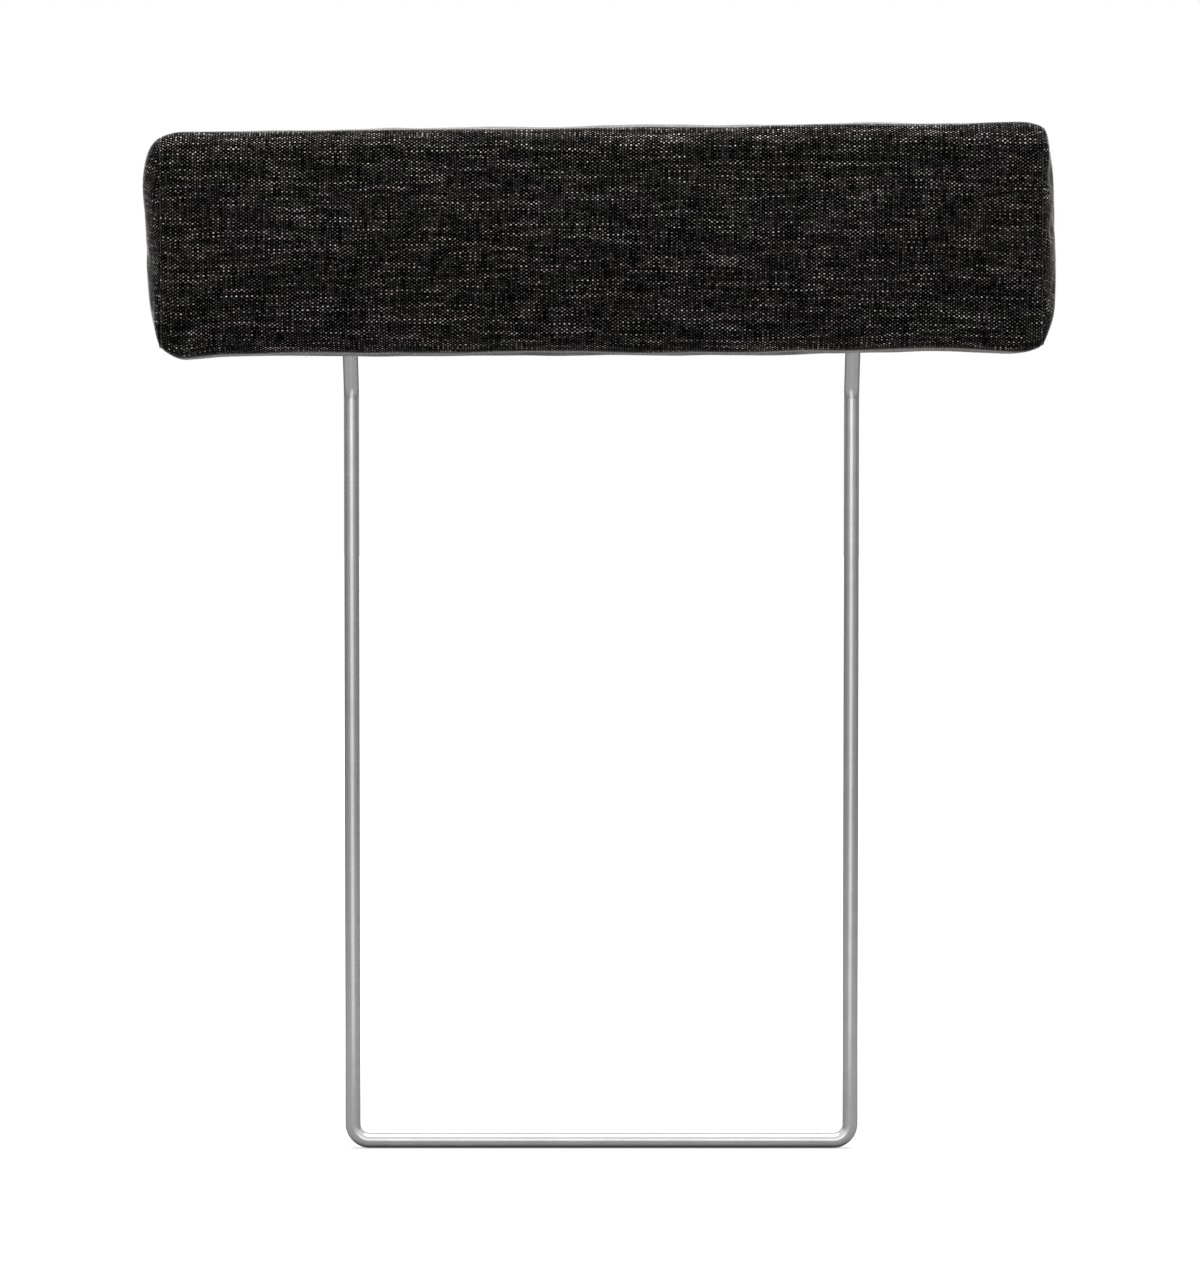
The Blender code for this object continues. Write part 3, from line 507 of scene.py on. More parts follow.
def panel_lines(settings):
    """Grid lines of the wrapped panel: along X, and round it from the zip."""
    ends = HALF_LENGTH - np.array([0.0, 0.12, 0.4, 0.75, 1.3, 2.2]) * settings.seam_radius
    slot = SLOT_HALF_LENGTH + np.array([-0.002, 0.0, 0.0006, 0.0015, 0.003])
    beside = np.array([-0.0125, -0.006, 0.0, 0.006, 0.0125])
    half = np.concatenate([ends, slot, LEG_X + beside])
    x = spaced(np.concatenate([-half, half]), settings.grid_step)
    hem = SLOT_HALF_HEIGHT + np.array([0.0, 0.0006, 0.0015, 0.0032])
    edge = np.concatenate([[0.0, 0.0003, 0.0009, 0.0018, 0.0034], hem, [0.011]])
    v = spaced(np.concatenate([edge, AROUND - edge[1:], ROD_HOLE_V + beside, [AROUND]]), settings.grid_step)
    return x, v[:-1]


def rod_lines(x, v, side):
    """Numbers of the two grid lines that cross where a rod goes in."""
    return int(np.argmin(np.abs(x - side * LEG_X))), int(np.argmin(np.abs(v - ROD_HOLE_V)))


def rod_openings(points, x, v, reach):
    """Opens a round hole for each rod in a grid of points and gives the cells that are left out.

    The two by two cells round the rod go, and their eight rim points move onto an ellipse that is as wide as
    reach once the grid has been subdivided."""
    cells = np.zeros((len(x) - 1, len(v)), bool)
    step = np.array([(1, 0), (1, 1), (0, 1), (-1, 1), (-1, 0), (-1, -1), (0, -1), (1, -1)])
    turn = np.arctan2(step[:, 1], step[:, 0])
    wide = reach / RING_SHRINK
    for side in (-1, 1):
        row, line = rod_lines(x, v, side)
        rim = (row + step[:, 0], line + step[:, 1])
        middle = rod_y(points[row, line, 2])
        points[rim + (0,)] = side * LEG_X + wide * np.cos(turn)
        points[rim + (1,)] = middle - wide / math.cos(CRANK_LEAN) * np.sin(turn)
        cells[row - 1:row + 1, line - 1:line + 1] = True
    return cells


def seam_puckers(distance, along, seed, settings):
    """Small gathers across a seam: a random field that is long across the seam and short along it, fading away."""
    field = ripple(distance * 0.35, along, seed, 0.016)
    return settings.pucker * field * np.exp(-distance / 0.011) * smooth_step(distance / 0.004)


def wrap_around(settings, fields):
    """Points of the wrapped panel with its seams turned in, and the grid lines."""
    knots_x, knots_v, (height, _, _) = fields
    crease_radius, hem_radius, hem_share = 0.0018, 0.0011, 0.9
    x, v = panel_lines(settings)
    grid_x, grid_v = np.meshgrid(x, v, indexing="ij")
    end, zip_away = HALF_LENGTH - np.abs(grid_x), from_zip(grid_v)
    fade = smooth_step(zip_away / 0.02)
    puff = spread(height, knots_x, x, knots_v, v) * fade
    soft = 0.0005 * ripple(grid_x, grid_v, 5, 0.075) + 0.00022 * ripple(grid_x, grid_v * 1.4, 8, 0.026)
    puff = puff + soft * fade * smooth_step(end / 0.012)
    puff = puff + seam_puckers(end, grid_v, 11, settings) * fade
    turned_in = rolled(end, settings.seam_radius) + end_round(end)
    beyond = np.abs(grid_x) - SLOT_HALF_LENGTH
    crease = rolled(zip_away, crease_radius) * smooth_step(beyond / 0.003)
    to_slot = np.hypot(np.maximum(beyond, 0), np.maximum(zip_away - SLOT_HALF_HEIGHT, 0))
    hem = rolled(to_slot, hem_radius) * ((beyond <= 1e-6) | (zip_away < SLOT_HALF_HEIGHT + 1e-6))
    return x, v, cushion_surface(grid_x, grid_v, puff - turned_in - np.maximum(crease, hem * hem_share)), puff


def main_panel(settings, fields):
    """The wrapped panel: its ends turned in at the seams, the zip's slot and the two rod holes left open."""
    x, v, points, _ = wrap_around(settings, fields)
    openings = np.pad(rod_openings(points, x, v, PANEL_HOLE), ((1, 1), (0, 0)))
    points = np.concatenate([turned_under(points[:1], v, settings), points, turned_under(points[-1:], v, settings)])
    x = np.concatenate([x[:1], x, x[-1:]])
    mid_x = (x[:-1] + x[1:]) / 2
    mid_v = (v + np.append(v[1:], AROUND)) / 2
    slot = (np.abs(mid_x) < SLOT_HALF_LENGTH)[:, None] & (from_zip(mid_v) < SLOT_HALF_HEIGHT)[None, :]
    flat = points.reshape(-1, 3)
    faces = facing_out(flat, grid_faces(len(x), len(v), wrap=True))[~(slot | openings).reshape(-1)]
    grid_x, grid_v = np.meshgrid(x, v, indexing="ij")
    grid_x[0] -= settings.seam_depth
    grid_x[-1] += settings.seam_depth
    return flat, faces, weave_corners(faces, grid_x, grid_v, AROUND)


def end_panel(settings, fields, side):
    """A bulged end panel with its rim turned in at the seam."""
    _, knots_v, heights = fields
    rings = np.array([0.0, 0.004, 0.012, 0.024, 0.042, 0.07, 0.105, 0.15, 0.2, 0.26, 0.33, 0.41, 0.5, 0.6, 0.7, 0.8,
                      0.89, 0.96])
    v = panel_lines(settings)[1]
    ring_t, ring_v = np.meshgrid(rings, v, indexing="ij")
    knots = np.arange(len(END_RINGS))
    puff = spread(heights[1 if side < 0 else 2], knots, np.interp(rings, END_RINGS, knots), knots_v, v)
    puff = puff - puff[rings > 0.3].mean() * smooth_step(ring_t / 0.35)
    points = end_surface(side, ring_t, ring_v)
    half_depth = 0.040
    from_seam = np.hypot(np.abs(points[..., 0]) - HALF_LENGTH - SEAM_GAP, ring_t * half_depth)
    puff = puff + 0.0004 * ripple(points[..., 1], points[..., 2], 21 + side, 0.045) * smooth_step(from_seam / 0.02)
    puff = puff + seam_puckers(from_seam, ring_v, 31 + side, settings) * 1.2
    facing = smooth_step(ring_t / 0.3)
    flank = puff * (1 - facing) - rolled(from_seam, settings.seam_radius)
    points[..., 0] += side * puff * (0.35 + 0.65 * facing)
    points += flank[..., None] * outwards(ring_v)
    points = np.concatenate([turned_under(points[:1], v, settings), points])
    # The fabric lies flat in the middle, and the way it travels over the bulge is added to its distance from there.
    steps = np.diff(points[::-1], axis=0)
    climbed = np.cumsum(np.linalg.norm(steps, axis=-1) - np.hypot(steps[..., 1], steps[..., 2]), axis=0)[::-1]
    climbed = np.concatenate([climbed, np.zeros((1, len(v)))])
    arm = points - points[-1:].mean(axis=1, keepdims=True)
    stretch = 1 + climbed / np.maximum(np.hypot(arm[..., 1], arm[..., 2]), 1e-9)
    across, upwards = stretch * arm[..., 1], stretch * arm[..., 2]
    tilt = math.radians(9 * side)
    pole_u, pole_v = 0.7 + side * 0.3, 0.4
    weave_u = pole_u + across * math.cos(tilt) - upwards * math.sin(tilt)
    weave_v = pole_v + across * math.sin(tilt) + upwards * math.cos(tilt)
    flat, faces, fan = dome(points, side)
    corners = [weave_corners(part, np.append(weave_u, pole_u), np.append(weave_v, pole_v)) for part in (faces, fan)]
    return flat, faces.tolist() + fan.tolist(), np.concatenate(corners)


def wadding_wrap(settings, fields):
    """The wadding inside the panel: a soft layer 8 mm thick, thinner under the sagging fabric, hollowed for the zip."""
    x, v, _, puff = wrap_around(settings, fields)
    under_cover, round_ends, at_zip, fluffy, depth = 0.0016, 0.0042, 0.0026, 0.0002, 0.0094
    channel_height, channel_length, most_puff = 0.0165, 0.2635, 0.0015
    keep = np.abs(x) <= HALF_LENGTH - 0.0007
    x, puff = x[keep], puff[keep]
    grid_x, grid_v = np.meshgrid(x, v, indexing="ij")
    end = HALF_LENGTH - np.abs(grid_x)
    channel = smooth_step((channel_height - from_zip(grid_v)) / 0.003)
    channel = channel * smooth_step((channel_length - np.abs(grid_x)) / 0.003)
    thin = under_cover + round_ends * (1 - smooth_step(end / 0.008)) + at_zip * channel
    fluff = fluffy * (ripple(grid_x, grid_v, 41, 0.012) - 1)
    outer = cushion_surface(grid_x, grid_v, np.minimum(puff, most_puff) - thin + fluff - end_round(end))
    y, z, out_y, out_z = outline(grid_v)[:4]
    deep = depth - crown(grid_x, grid_v)
    inner = np.stack([grid_x, y - deep * out_y, z - deep * out_z], axis=-1)
    openings = rod_openings(outer, x, v, WADDING_HOLE)
    rod_openings(inner, x, v, WADDING_HOLE)
    outer, inner = outer.reshape(-1, 3), inner.reshape(-1, 3)
    faces = facing_out(outer, grid_faces(len(x), len(v), wrap=True))[~openings.reshape(-1)]
    return shell(outer, inner, faces)


def wadding_end(side):
    """The pad of wadding in one end, 3 mm inside its panel, rounded at its rim and flat on its inner side."""
    under_cover, rim_radius, fluffy = 0.003, 0.0035, 0.0002
    rings = np.array([0.0, 0.02, 0.06, 0.12, 0.2, 0.3, 0.42, 0.55, 0.7, 0.84, 0.95])
    v = np.arange(64) * AROUND / 64
    ring_t, ring_v = np.meshgrid(rings, v, indexing="ij")
    points = end_surface(side, ring_t, ring_v, deeper=under_cover)
    points -= (rim_radius * (1 - smooth_step(ring_t / 0.2)))[..., None] * outwards(ring_v)
    points[..., 0] += side * fluffy * (ripple(ring_v, ring_t * 0.05, 51 + side, 0.012) - 1)
    flat, faces, fan = dome(points, side)
    near = np.arange(len(v))
    inner = np.stack([np.roll(near, -1), near, np.full(len(v), len(flat))], axis=1)
    if fan[0, 0] == len(flat) - 1:
        inner = inner[:, ::-1]
    base = [[side * (HALF_LENGTH + SEAM_GAP), MID_Y, MID_Z]]
    return np.concatenate([flat, base]), faces.tolist() + fan.tolist() + inner.tolist()


# ---------------------------------------------------------------- rod, zip and thread

def bent_path(corners, radii, straight_step=0.02, bend_steps=14):
    """Points and directions along straight lines that are joined by round bends.

    A bend of angle a takes r tan(a / 2) off both lines, and runs as P + r (sin t d + (1 - cos t) n)."""
    corners = np.asarray(corners, float)
    ways = unit(np.diff(corners, axis=0))
    places, headings = [], []
    start = corners[0]
    for ahead, onward, corner, radius in zip(ways, ways[1:], corners[1:], radii):
        angle = math.acos(float(ahead @ onward))
        stop = corner - ahead * radius * math.tan(angle / 2)
        count = max(2, math.ceil(np.linalg.norm(stop - start) / straight_step))
        places.append(start + np.linspace(0, 1, count, endpoint=False)[:, None] * (stop - start))
        headings.append(np.repeat(ahead[None], count, axis=0))
        side = (onward - math.cos(angle) * ahead) / math.sin(angle)
        turn = np.linspace(0, angle, bend_steps, endpoint=False)[:, None]
        places.append(stop + radius * (np.sin(turn) * ahead + (1 - np.cos(turn)) * side))
        headings.append(np.cos(turn) * ahead + np.sin(turn) * side)
        start = stop + radius * (math.sin(angle) * ahead + (1 - math.cos(angle)) * side)
    count = max(2, math.ceil(np.linalg.norm(corners[-1] - start) / straight_step))
    places.append(start + np.linspace(0, 1, count, endpoint=False)[:, None] * (corners[-1] - start))
    places.append(corners[-1:])
    headings.append(np.repeat(ways[-1:], count + 1, axis=0))
    return np.concatenate(places), np.concatenate(headings)


def rod(settings):
    """The bent rod: a round profile carried down one leg, along the bar and up the other leg."""
    leg = [(ROD_TOP_Y, ROD_TOP_Z), (ROD_TOP_Y, CRANK_TOP_Z), (0.0, CRANK_Z), (0.0, ROD_RADIUS)]
    corners = [(-LEG_X, y, z) for y, z in leg] + [(LEG_X, y, z) for y, z in leg[::-1]]
    radii = [settings.crank_radius] * 2 + [settings.corner_radius] * 2 + [settings.crank_radius] * 2
    path, heading = bent_path(corners, radii)
    across = np.cross([0.0, -1.0, 0.0], heading)
    upper = path[:, 2] > 0.3
    across[upper] = np.where(path[upper, :1] < 0, [[1.0, 0.0, 0.0]], [[-1.0, 0.0, 0.0]])
    across = unit(across)
    path[[0, -1]] += heading[[0, -1]] * [[0.0004], [-0.0004]]
    points, faces = carried(path, across, np.cross(heading, across), circle(ROD_RADIUS, settings.sides))
    travelled = np.concatenate([[0], np.cumsum(np.linalg.norm(np.diff(path, axis=0), axis=1))])
    whole_turn = 2 * np.pi * ROD_RADIUS
    around = whole_turn * np.arange(settings.sides) / settings.sides
    uv = []
    for face in faces:
        row, column = np.divmod(np.array(face), settings.sides)
        place = around[column]
        if len(face) == 4 and place.max() - place.min() > whole_turn / 2:
            place = np.where(place < 1e-9, whole_turn, place)
        uv.append(np.stack([place, travelled[row]], axis=1))
    return points, faces, np.concatenate(uv)


def coil(settings, side):
    """One half of the zip's coil: a thin filament wound in a flat oval round the tape's edge, once each pitch."""
    inner, outer, thick = 0.00046, 0.0029, 0.00028
    turns = int((COIL_HIGH[0] - COIL_LOW[0] - 0.0012) / settings.coil_pitch)
    t = np.arange(turns * 8 + 1) / 8
    wave, swing = np.cos(2 * np.pi * t), np.sin(2 * np.pi * t)
    wide, deep = (outer - inner) / 2 - thick, (COIL_HIGH[1] - COIL_LOW[1]) / 2 - thick
    x = COIL_LOW[0] + 0.0005 + (settings.coil_pitch / 4 if side > 0 else 0.0) + settings.coil_pitch * t
    y = (COIL_LOW[1] + COIL_HIGH[1]) / 2 + deep * np.sign(swing) * np.abs(swing) ** 0.7
    z = (inner + outer) / 2 + wide * np.sign(wave) * np.abs(wave) ** 0.7
    path = np.stack([x, y, ZIP_Z + side * z], axis=1)
    heading = unit(np.gradient(path, axis=0))
    across = unit(np.cross(heading, [1.0, 0.0, 0.0]))
    return carried(path, across, np.cross(heading, across), circle(thick, 5))


def tape(side):
    """One woven tape: a thin flat profile with rounded edges, carried along X."""
    inner, outer = 0.00048, TAPE_HIGH[2] - ZIP_Z
    half = (TAPE_HIGH[1] - TAPE_LOW[1]) / 2
    edge = half * np.array([0.15, 0.6, 1.0])
    place = np.array([0.0, 0.00008, 0.0003])
    top = np.concatenate([inner + place, np.linspace(inner + 0.0009, outer - 0.0009, 9), outer - place[::-1]])
    rise = np.concatenate([edge, np.full(9, half * 0.8), edge[::-1]])
    profile = np.stack([side * np.append(top, top[::-1]), np.append(rise, -rise[::-1])], axis=1)
    x = np.linspace(TAPE_LOW[0], TAPE_HIGH[0], 131)
    path = np.stack([x, np.full_like(x, (TAPE_LOW[1] + TAPE_HIGH[1]) / 2), np.full_like(x, ZIP_Z)], axis=1)
    upright, outward = (np.repeat([way], len(x), axis=0) for way in ([0.0, 0.0, 1.0], [0.0, 1.0, 0.0]))
    return carried(path, upright, outward, profile)


def stitches(starts, ends, out):
    """A row of stitches: each is a thin spindle from its start to its end that arches outwards in its middle.

    point = start + t (end - start) + arch sin(pi t) out, with a round profile as thick as sin(pi t)^0.4."""
    radius = 0.00032
    t = np.array([0.0, 0.12, 0.35, 0.65, 0.88, 1.0])
    turn = 2 * np.pi * np.arange(6) / 6
    along = ends - starts
    across = np.cross(unit(along), out)
    arch = radius * (0.9 * np.sin(np.pi * t) - 0.9)
    thick = radius * np.maximum(np.sin(np.pi * t), 0.03) ** 0.4
    middle = starts[:, None] + t[None, :, None] * along[:, None] + arch[None, :, None] * out[:, None]
    points = (middle[:, :, None]
              + (thick[:, None] * np.cos(turn))[None, :, :, None] * across[:, None, None]
              + (thick[:, None] * np.sin(turn))[None, :, :, None] * out[:, None, None])
    count = len(t) * len(turn)
    offsets = count * np.arange(len(starts))
    flat = points.reshape(-1, 3)
    one = facing_out(flat[:count], grid_faces(len(t), len(turn), wrap=True))
    faces = (one[None] + offsets[:, None, None]).reshape(-1, 4).tolist()
    for cap in (np.arange(6), np.arange(6) + count - 6):
        span = flat[cap]
        normal = np.cross(span[1] - span[0], span[2] - span[0])
        outward = span.mean(axis=0) - flat[:count].mean(axis=0)
        order = cap if normal @ outward > 0 else cap[::-1]
        faces += (order[None] + offsets[:, None]).tolist()
    return flat, faces


def topstitch_rows(settings):
    """Starts and ends of the stitches on both sides of the zip's slot and across its two ends."""
    beside, lifted = 0.0031, 0.00012
    reach = {"x": SLOT_HALF_LENGTH + beside, "z": SLOT_HALF_HEIGHT + beside}
    pitch = settings.stitch_length + settings.stitch_gap
    counts = {way: int(2 * far / pitch) for way, far in reach.items()}
    x, z = (-far + settings.stitch_gap / 2 + np.arange(counts[way]) * 2 * far / counts[way]
            for way, far in reach.items())
    starts, ends = [], []
    for side in (-1, 1):
        lengthwise = np.stack([x, np.full_like(x, BACK_Y), np.full_like(x, ZIP_Z + side * reach["z"])], axis=1)
        upright = np.stack([np.full_like(z, side * reach["x"]), np.full_like(z, BACK_Y), ZIP_Z + z], axis=1)
        starts += [lengthwise, upright]
        ends += [lengthwise + [settings.stitch_length, 0.0, 0.0], upright + [0.0, 0.0, settings.stitch_length]]
    starts, ends = np.concatenate(starts), np.concatenate(ends)
    out = np.repeat([[0.0, 1.0, 0.0]], len(starts), axis=0)
    return starts + lifted * out, ends + lifted * out, out


def buttonhole(side, fields, settings):
    """Stitched ring round a rod where it goes in: a thick round profile carried round an ellipse in the fabric."""
    x, v, points, _ = wrap_around(settings, fields)
    height = points[rod_lines(x, v, side) + (2,)] + 0.0001
    turn = np.linspace(0, 2 * np.pi, 65)[:-1]
    wide, long = 0.0063, 0.0076
    path = np.stack([side * LEG_X + wide * np.cos(turn), rod_y(height) + long * np.sin(turn), np.full(64, height)],
                    axis=1)
    out = unit(np.stack([np.cos(turn) / wide, np.sin(turn) / long, np.zeros(64)], axis=1))
    up = np.array([0.0, 0.0, 1.0])
    profile = circle(0.00085, 8, 0.9)
    ribs = 1 + 0.10 * np.cos(turn * 32)[:, None, None]
    ring = path[:, None] + ribs * (profile[None, :, :1] * out[:, None] + profile[None, :, 1:] * up)
    flat = ring.reshape(-1, 3)
    return flat, facing_out(flat, grid_faces(65, 8, wrap=True) % (64 * 8)).tolist()


def rounded_copy(node, name, radius):
    """A copy of a CAD node with its loose triangles merged, its flat faces joined and its edges rounded."""
    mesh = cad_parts[node].data.copy()
    mesh.name = name
    mesh.materials.clear()
    bm = bmesh.new()
    bm.from_mesh(mesh)
    bmesh.ops.remove_doubles(bm, verts=bm.verts, dist=1e-6)
    bmesh.ops.dissolve_limit(bm, angle_limit=math.radians(1), verts=bm.verts, edges=bm.edges)
    bm.to_mesh(mesh)
    bm.free()
    mesh.polygons.foreach_set("use_smooth", np.ones(len(mesh.polygons), bool))
    piece = bpy.data.objects.new(name, mesh)
    bpy.context.scene.collection.objects.link(piece)
    bevel = piece.modifiers.new("Rounded edges", "BEVEL")
    bevel.width, bevel.segments = radius, 2
    bevel.limit_method, bevel.angle_limit = "ANGLE", math.radians(35)
    bevel.harden_normals = True
    return piece


# ---------------------------------------------------------------- shader nodes

class Signal:
    """A node's output that can be calculated with: each step adds one Math node to its tree."""

    def __init__(self, node, key=0):
        self.tree, self.socket = node.id_data, node.outputs[key]

    def step(self, operation, *others):
        """Result of one operation on this signal and others."""
        return maths(self.tree, operation, self, *others)

    def __add__(self, other):
        return self.step("ADD", other)

    def __sub__(self, other):
        return self.step("SUBTRACT", other)

    def __rsub__(self, other):
        return maths(self.tree, "SUBTRACT", other, self)

    def __mul__(self, other):
        return self.step("MULTIPLY", other)

    def __truediv__(self, other):
        return self.step("DIVIDE", other)


def fill(node, **inputs):
    """Sets a node's inputs, each named by its label or by i and its number, or links a signal to them."""
    for name, value in inputs.items():
        socket = node.inputs[int(name[1:]) if name[1:].isdigit() else name.replace("_", " ")]
        if isinstance(value, Signal):
            node.id_data.links.new(value.socket, socket)
        else:
            socket.default_value = value
    return node


def make_node(tree, kind, settings=None, **inputs):
    """New node in a tree; settings are its own values."""
    node = tree.nodes.new(kind)
    for name, value in (settings or {}).items():
        setattr(node, name, value)
    return fill(node, **inputs)


def maths(tree, operation, *values, clamp=False):
    """Result of a Math node."""
    inputs = {"i" + str(number): value for number, value in enumerate(values)}
    return Signal(make_node(tree, "ShaderNodeMath", {"operation": operation, "use_clamp": clamp}, **inputs))


def vector_maths(operation, first, *others, **inputs):
    """Result of a Vector Math node."""
    inputs.update(("i" + str(number), value) for number, value in enumerate((first,) + others))
    return Signal(make_node(first.tree, "ShaderNodeVectorMath", {"operation": operation}, **inputs))


def remap(value, low, high, to_low=0.0, to_high=1.0, smooth=True):
    """Value carried from one range to another and kept inside it."""
    kind = {"interpolation_type": "SMOOTHSTEP" if smooth else "LINEAR"}
    return Signal(make_node(value.tree, "ShaderNodeMapRange", kind, i0=value, i1=low, i2=high, i3=to_low, i4=to_high))


def mix_colour(share, first, second):
    """Colour between two others."""
    ends = {key: value if isinstance(value, Signal) else tuple(value)[:3] + (1.0,)
            for key, value in (("i6", first), ("i7", second))}
    kind = {"data_type": "RGBA", "blend_type": "MIX", "clamp_factor": True}
    return Signal(make_node(share.tree, "ShaderNodeMix", kind, i0=share, **ends), 2)


def noise(place, scale=1.0, key="Fac", **values):
    """Noise texture at a place."""
    return Signal(make_node(place.tree, "ShaderNodeTexNoise", Vector=place, Scale=scale, **values), key)


def place_at(x, y, z):
    """Place from its three parts, the first of them a signal."""
    return Signal(make_node(x.tree, "ShaderNodeCombineXYZ", X=x, Y=y, Z=z))


def parts_of(place):
    """The three parts of a place."""
    node = make_node(place.tree, "ShaderNodeSeparateXYZ", Vector=place)
    return [Signal(node, key) for key in range(3)]


def new_group(name, inputs, outputs):
    """New node group with named sockets: (tree, its inputs as signals, its output node)."""
    tree = bpy.data.node_groups.new(name, "ShaderNodeTree")
    for label, kind, value in inputs:
        socket = tree.interface.new_socket(name=label, in_out="INPUT", socket_type="NodeSocket" + kind)
        if value is not None:
            socket.default_value = value
    for label, kind in outputs:
        tree.interface.new_socket(name=label, in_out="OUTPUT", socket_type="NodeSocket" + kind)
    given = tree.nodes.new("NodeGroupInput")
    return tree, [Signal(given, label) for label, _, _ in inputs], tree.nodes.new("NodeGroupOutput")


def tweed_group():
    """Plain weave of black upright yarns and mottled grey lengthwise yarns with slubs, from a map in metres.

    A cell of the weave is one warp pitch by one weft pitch. Where its row and column add up to an even number the
    grey yarn lies on top, as a bright fleck; elsewhere the black yarn does. Each grey yarn has its own brightness,
    which changes along it over 20 to 40 mm, and each fleck differs from its neighbours."""
    name = "Tweed weave"
    if name in bpy.data.node_groups:
        return bpy.data.node_groups[name]
    tree, (place, warp_pitch, weft_pitch, dark, light, thickening), result = new_group(
        name,
        [("Vector", "Vector", None), ("Warp pitch", "Float", 0.00164), ("Weft pitch", "Float", 0.00113),
         ("Dark", "Color", (0.004, 0.004, 0.004, 1)), ("Light", "Color", (0.3, 0.28, 0.27, 1)),
         ("Slub", "Float", 0.72)],
        [("Color", "Color"), ("Height", "Float")])
    moved = place
    for scale, detail, reach in ((70.0, 2.0, 0.0016), (420.0, 1.0, 0.0005)):
        swing = vector_maths("SUBTRACT", noise(place, scale, "Color", Detail=detail), (0.5, 0.5, 0.5))
        moved = vector_maths("ADD", moved, vector_maths("SCALE", swing, Scale=reach))
    x, y, _ = parts_of(moved)
    across, along = x / warp_pitch, y / weft_pitch
    column, row = across.step("FLOOR"), along.step("FLOOR")
    in_x, in_y = across.step("FRACT") - 0.5, along.step("FRACT") - 0.5
    odd = (column + row).step("FLOORED_MODULO", 2.0)
    square_x, square_y = in_x * in_x, in_y * in_y
    weft_top = maths(tree, "SUBTRACT", 1.0, square_x * 5.2 + square_y * 6.0, clamp=True) * (1.0 - odd)
    warp_top = maths(tree, "SUBTRACT", 1.0, square_x * 3.6 + square_y * 2.2, clamp=True) * odd
    # The grey yarns are dim on the whole, in soft patches. Each has thick bright runs of 15 to 40 mm of its own,
    # and here and there a few neighbouring black yarns press all the grey ones down into a dark upright streak.
    patch = noise(place_at(x * 26.0, row * 0.55, 3.0), Detail=2.0, Roughness=0.6)
    slub = noise(place_at(x * 32.0, row * 5.37, 0.0), Detail=1.5)
    streak = noise(place_at(column * 0.9, y * 42.0, 11.0), Detail=1.5)
    speck = Signal(make_node(tree, "ShaderNodeTexWhiteNoise", {"noise_dimensions": "2D"},
                             Vector=place_at(column, row, 0.0)))
    bright = remap(patch, 0.34, 0.68, 0.055, 0.15) + remap(slub, 0.46, 0.76) * thickening
    bright = bright * remap(streak, 0.34, 0.48, 0.4, 1.0) * remap(speck, 0.0, 1.0, 0.25, 1.75, smooth=False)
    # The black yarns carry a little grey, each its own amount.
    upright = noise(place_at(column * 3.71, y * 60.0, 7.0), Detail=1.0)
    fleck = (weft_top * bright).step("MAXIMUM", warp_top * remap(upright, 0.45, 0.8, 0.0, 0.04, smooth=False))
    fill(result, Color=mix_colour(fleck, dark, light), Height=weft_top + warp_top * 0.75)
    return tree


def wear_group():
    """Fine unevenness that several finishes share: a soft mottling and short scratches, from Object coordinates."""
    name = "Surface wear"
    if name in bpy.data.node_groups:
        return bpy.data.node_groups[name]
    tree, (place, scale), result = new_group(
        name, [("Vector", "Vector", None), ("Scale", "Float", 100.0)], [("Mottle", "Float"), ("Scratch", "Float")])
    fine = noise(vector_maths("MULTIPLY", place, (9.0, 9.0, 0.6)), scale, Detail=3.0)
    fill(result, Mottle=noise(place, scale, Detail=4.0), Scratch=remap(fine, 0.56, 0.72))
    return tree


# ---------------------------------------------------------------- materials

def use_group(tree, group, **inputs):
    """Outputs of a node group that is placed in a material, by name."""
    node = make_node(tree, "ShaderNodeGroup", {"node_tree": group}, **inputs)
    return {socket.name: Signal(node, socket.name) for socket in node.outputs}


def object_place(tree):
    """Place on the object."""
    return Signal(tree.nodes.new("ShaderNodeTexCoord"), "Object")


def weave_place(tree):
    """Place on the weave map, in metres."""
    return Signal(make_node(tree, "ShaderNodeUVMap", {"uv_map": "weave"}))


def raised(height, strength, distance):
    """Normal of a surface that a height raises."""
    return Signal(make_node(height.tree, "ShaderNodeBump", Height=height, Strength=strength, Distance=distance))


def material_tweed(tree, settings):
    """Black and grey slubby wool tweed."""
    place = weave_place(tree)
    weave = use_group(tree, tweed_group(), Vector=place, Warp_pitch=settings.warp_pitch,
                      Weft_pitch=settings.weft_pitch, Dark=tuple(settings.dark_yarn) + (1,),
                      Light=tuple(settings.light_yarn) + (1,))
    height = weave["Height"] + noise(place, 1500.0, Detail=2.0) * 0.3
    return dict(Base_Color=weave["Color"], Roughness=0.92, Specular_IOR_Level=0.0, Sheen_Weight=0.85,
                Sheen_Roughness=0.2, Sheen_Tint=(0.85, 0.83, 0.81, 1), Normal=raised(height, 0.18, 0.0003))


def material_steel(tree, settings):
    """Satin nickel-plated steel rod with fine drawing lines along it."""
    lines = noise(vector_maths("MULTIPLY", weave_place(tree), (2600.0, 26.0, 1.0)), Detail=3.0)
    mottle = use_group(tree, wear_group(), Vector=object_place(tree), Scale=60.0)["Mottle"]
    base = tuple(settings.steel)
    colour = mix_colour(remap(mottle, 0.3, 0.75), base, tuple(0.93 * c for c in base))
    return dict(Base_Color=colour, Metallic=1.0, Roughness=remap(lines, 0.3, 0.7, 0.20, 0.27),
                Specular_Tint=(0.3, 0.3, 0.3, 1), Normal=raised(lines, 0.08, 0.00005))


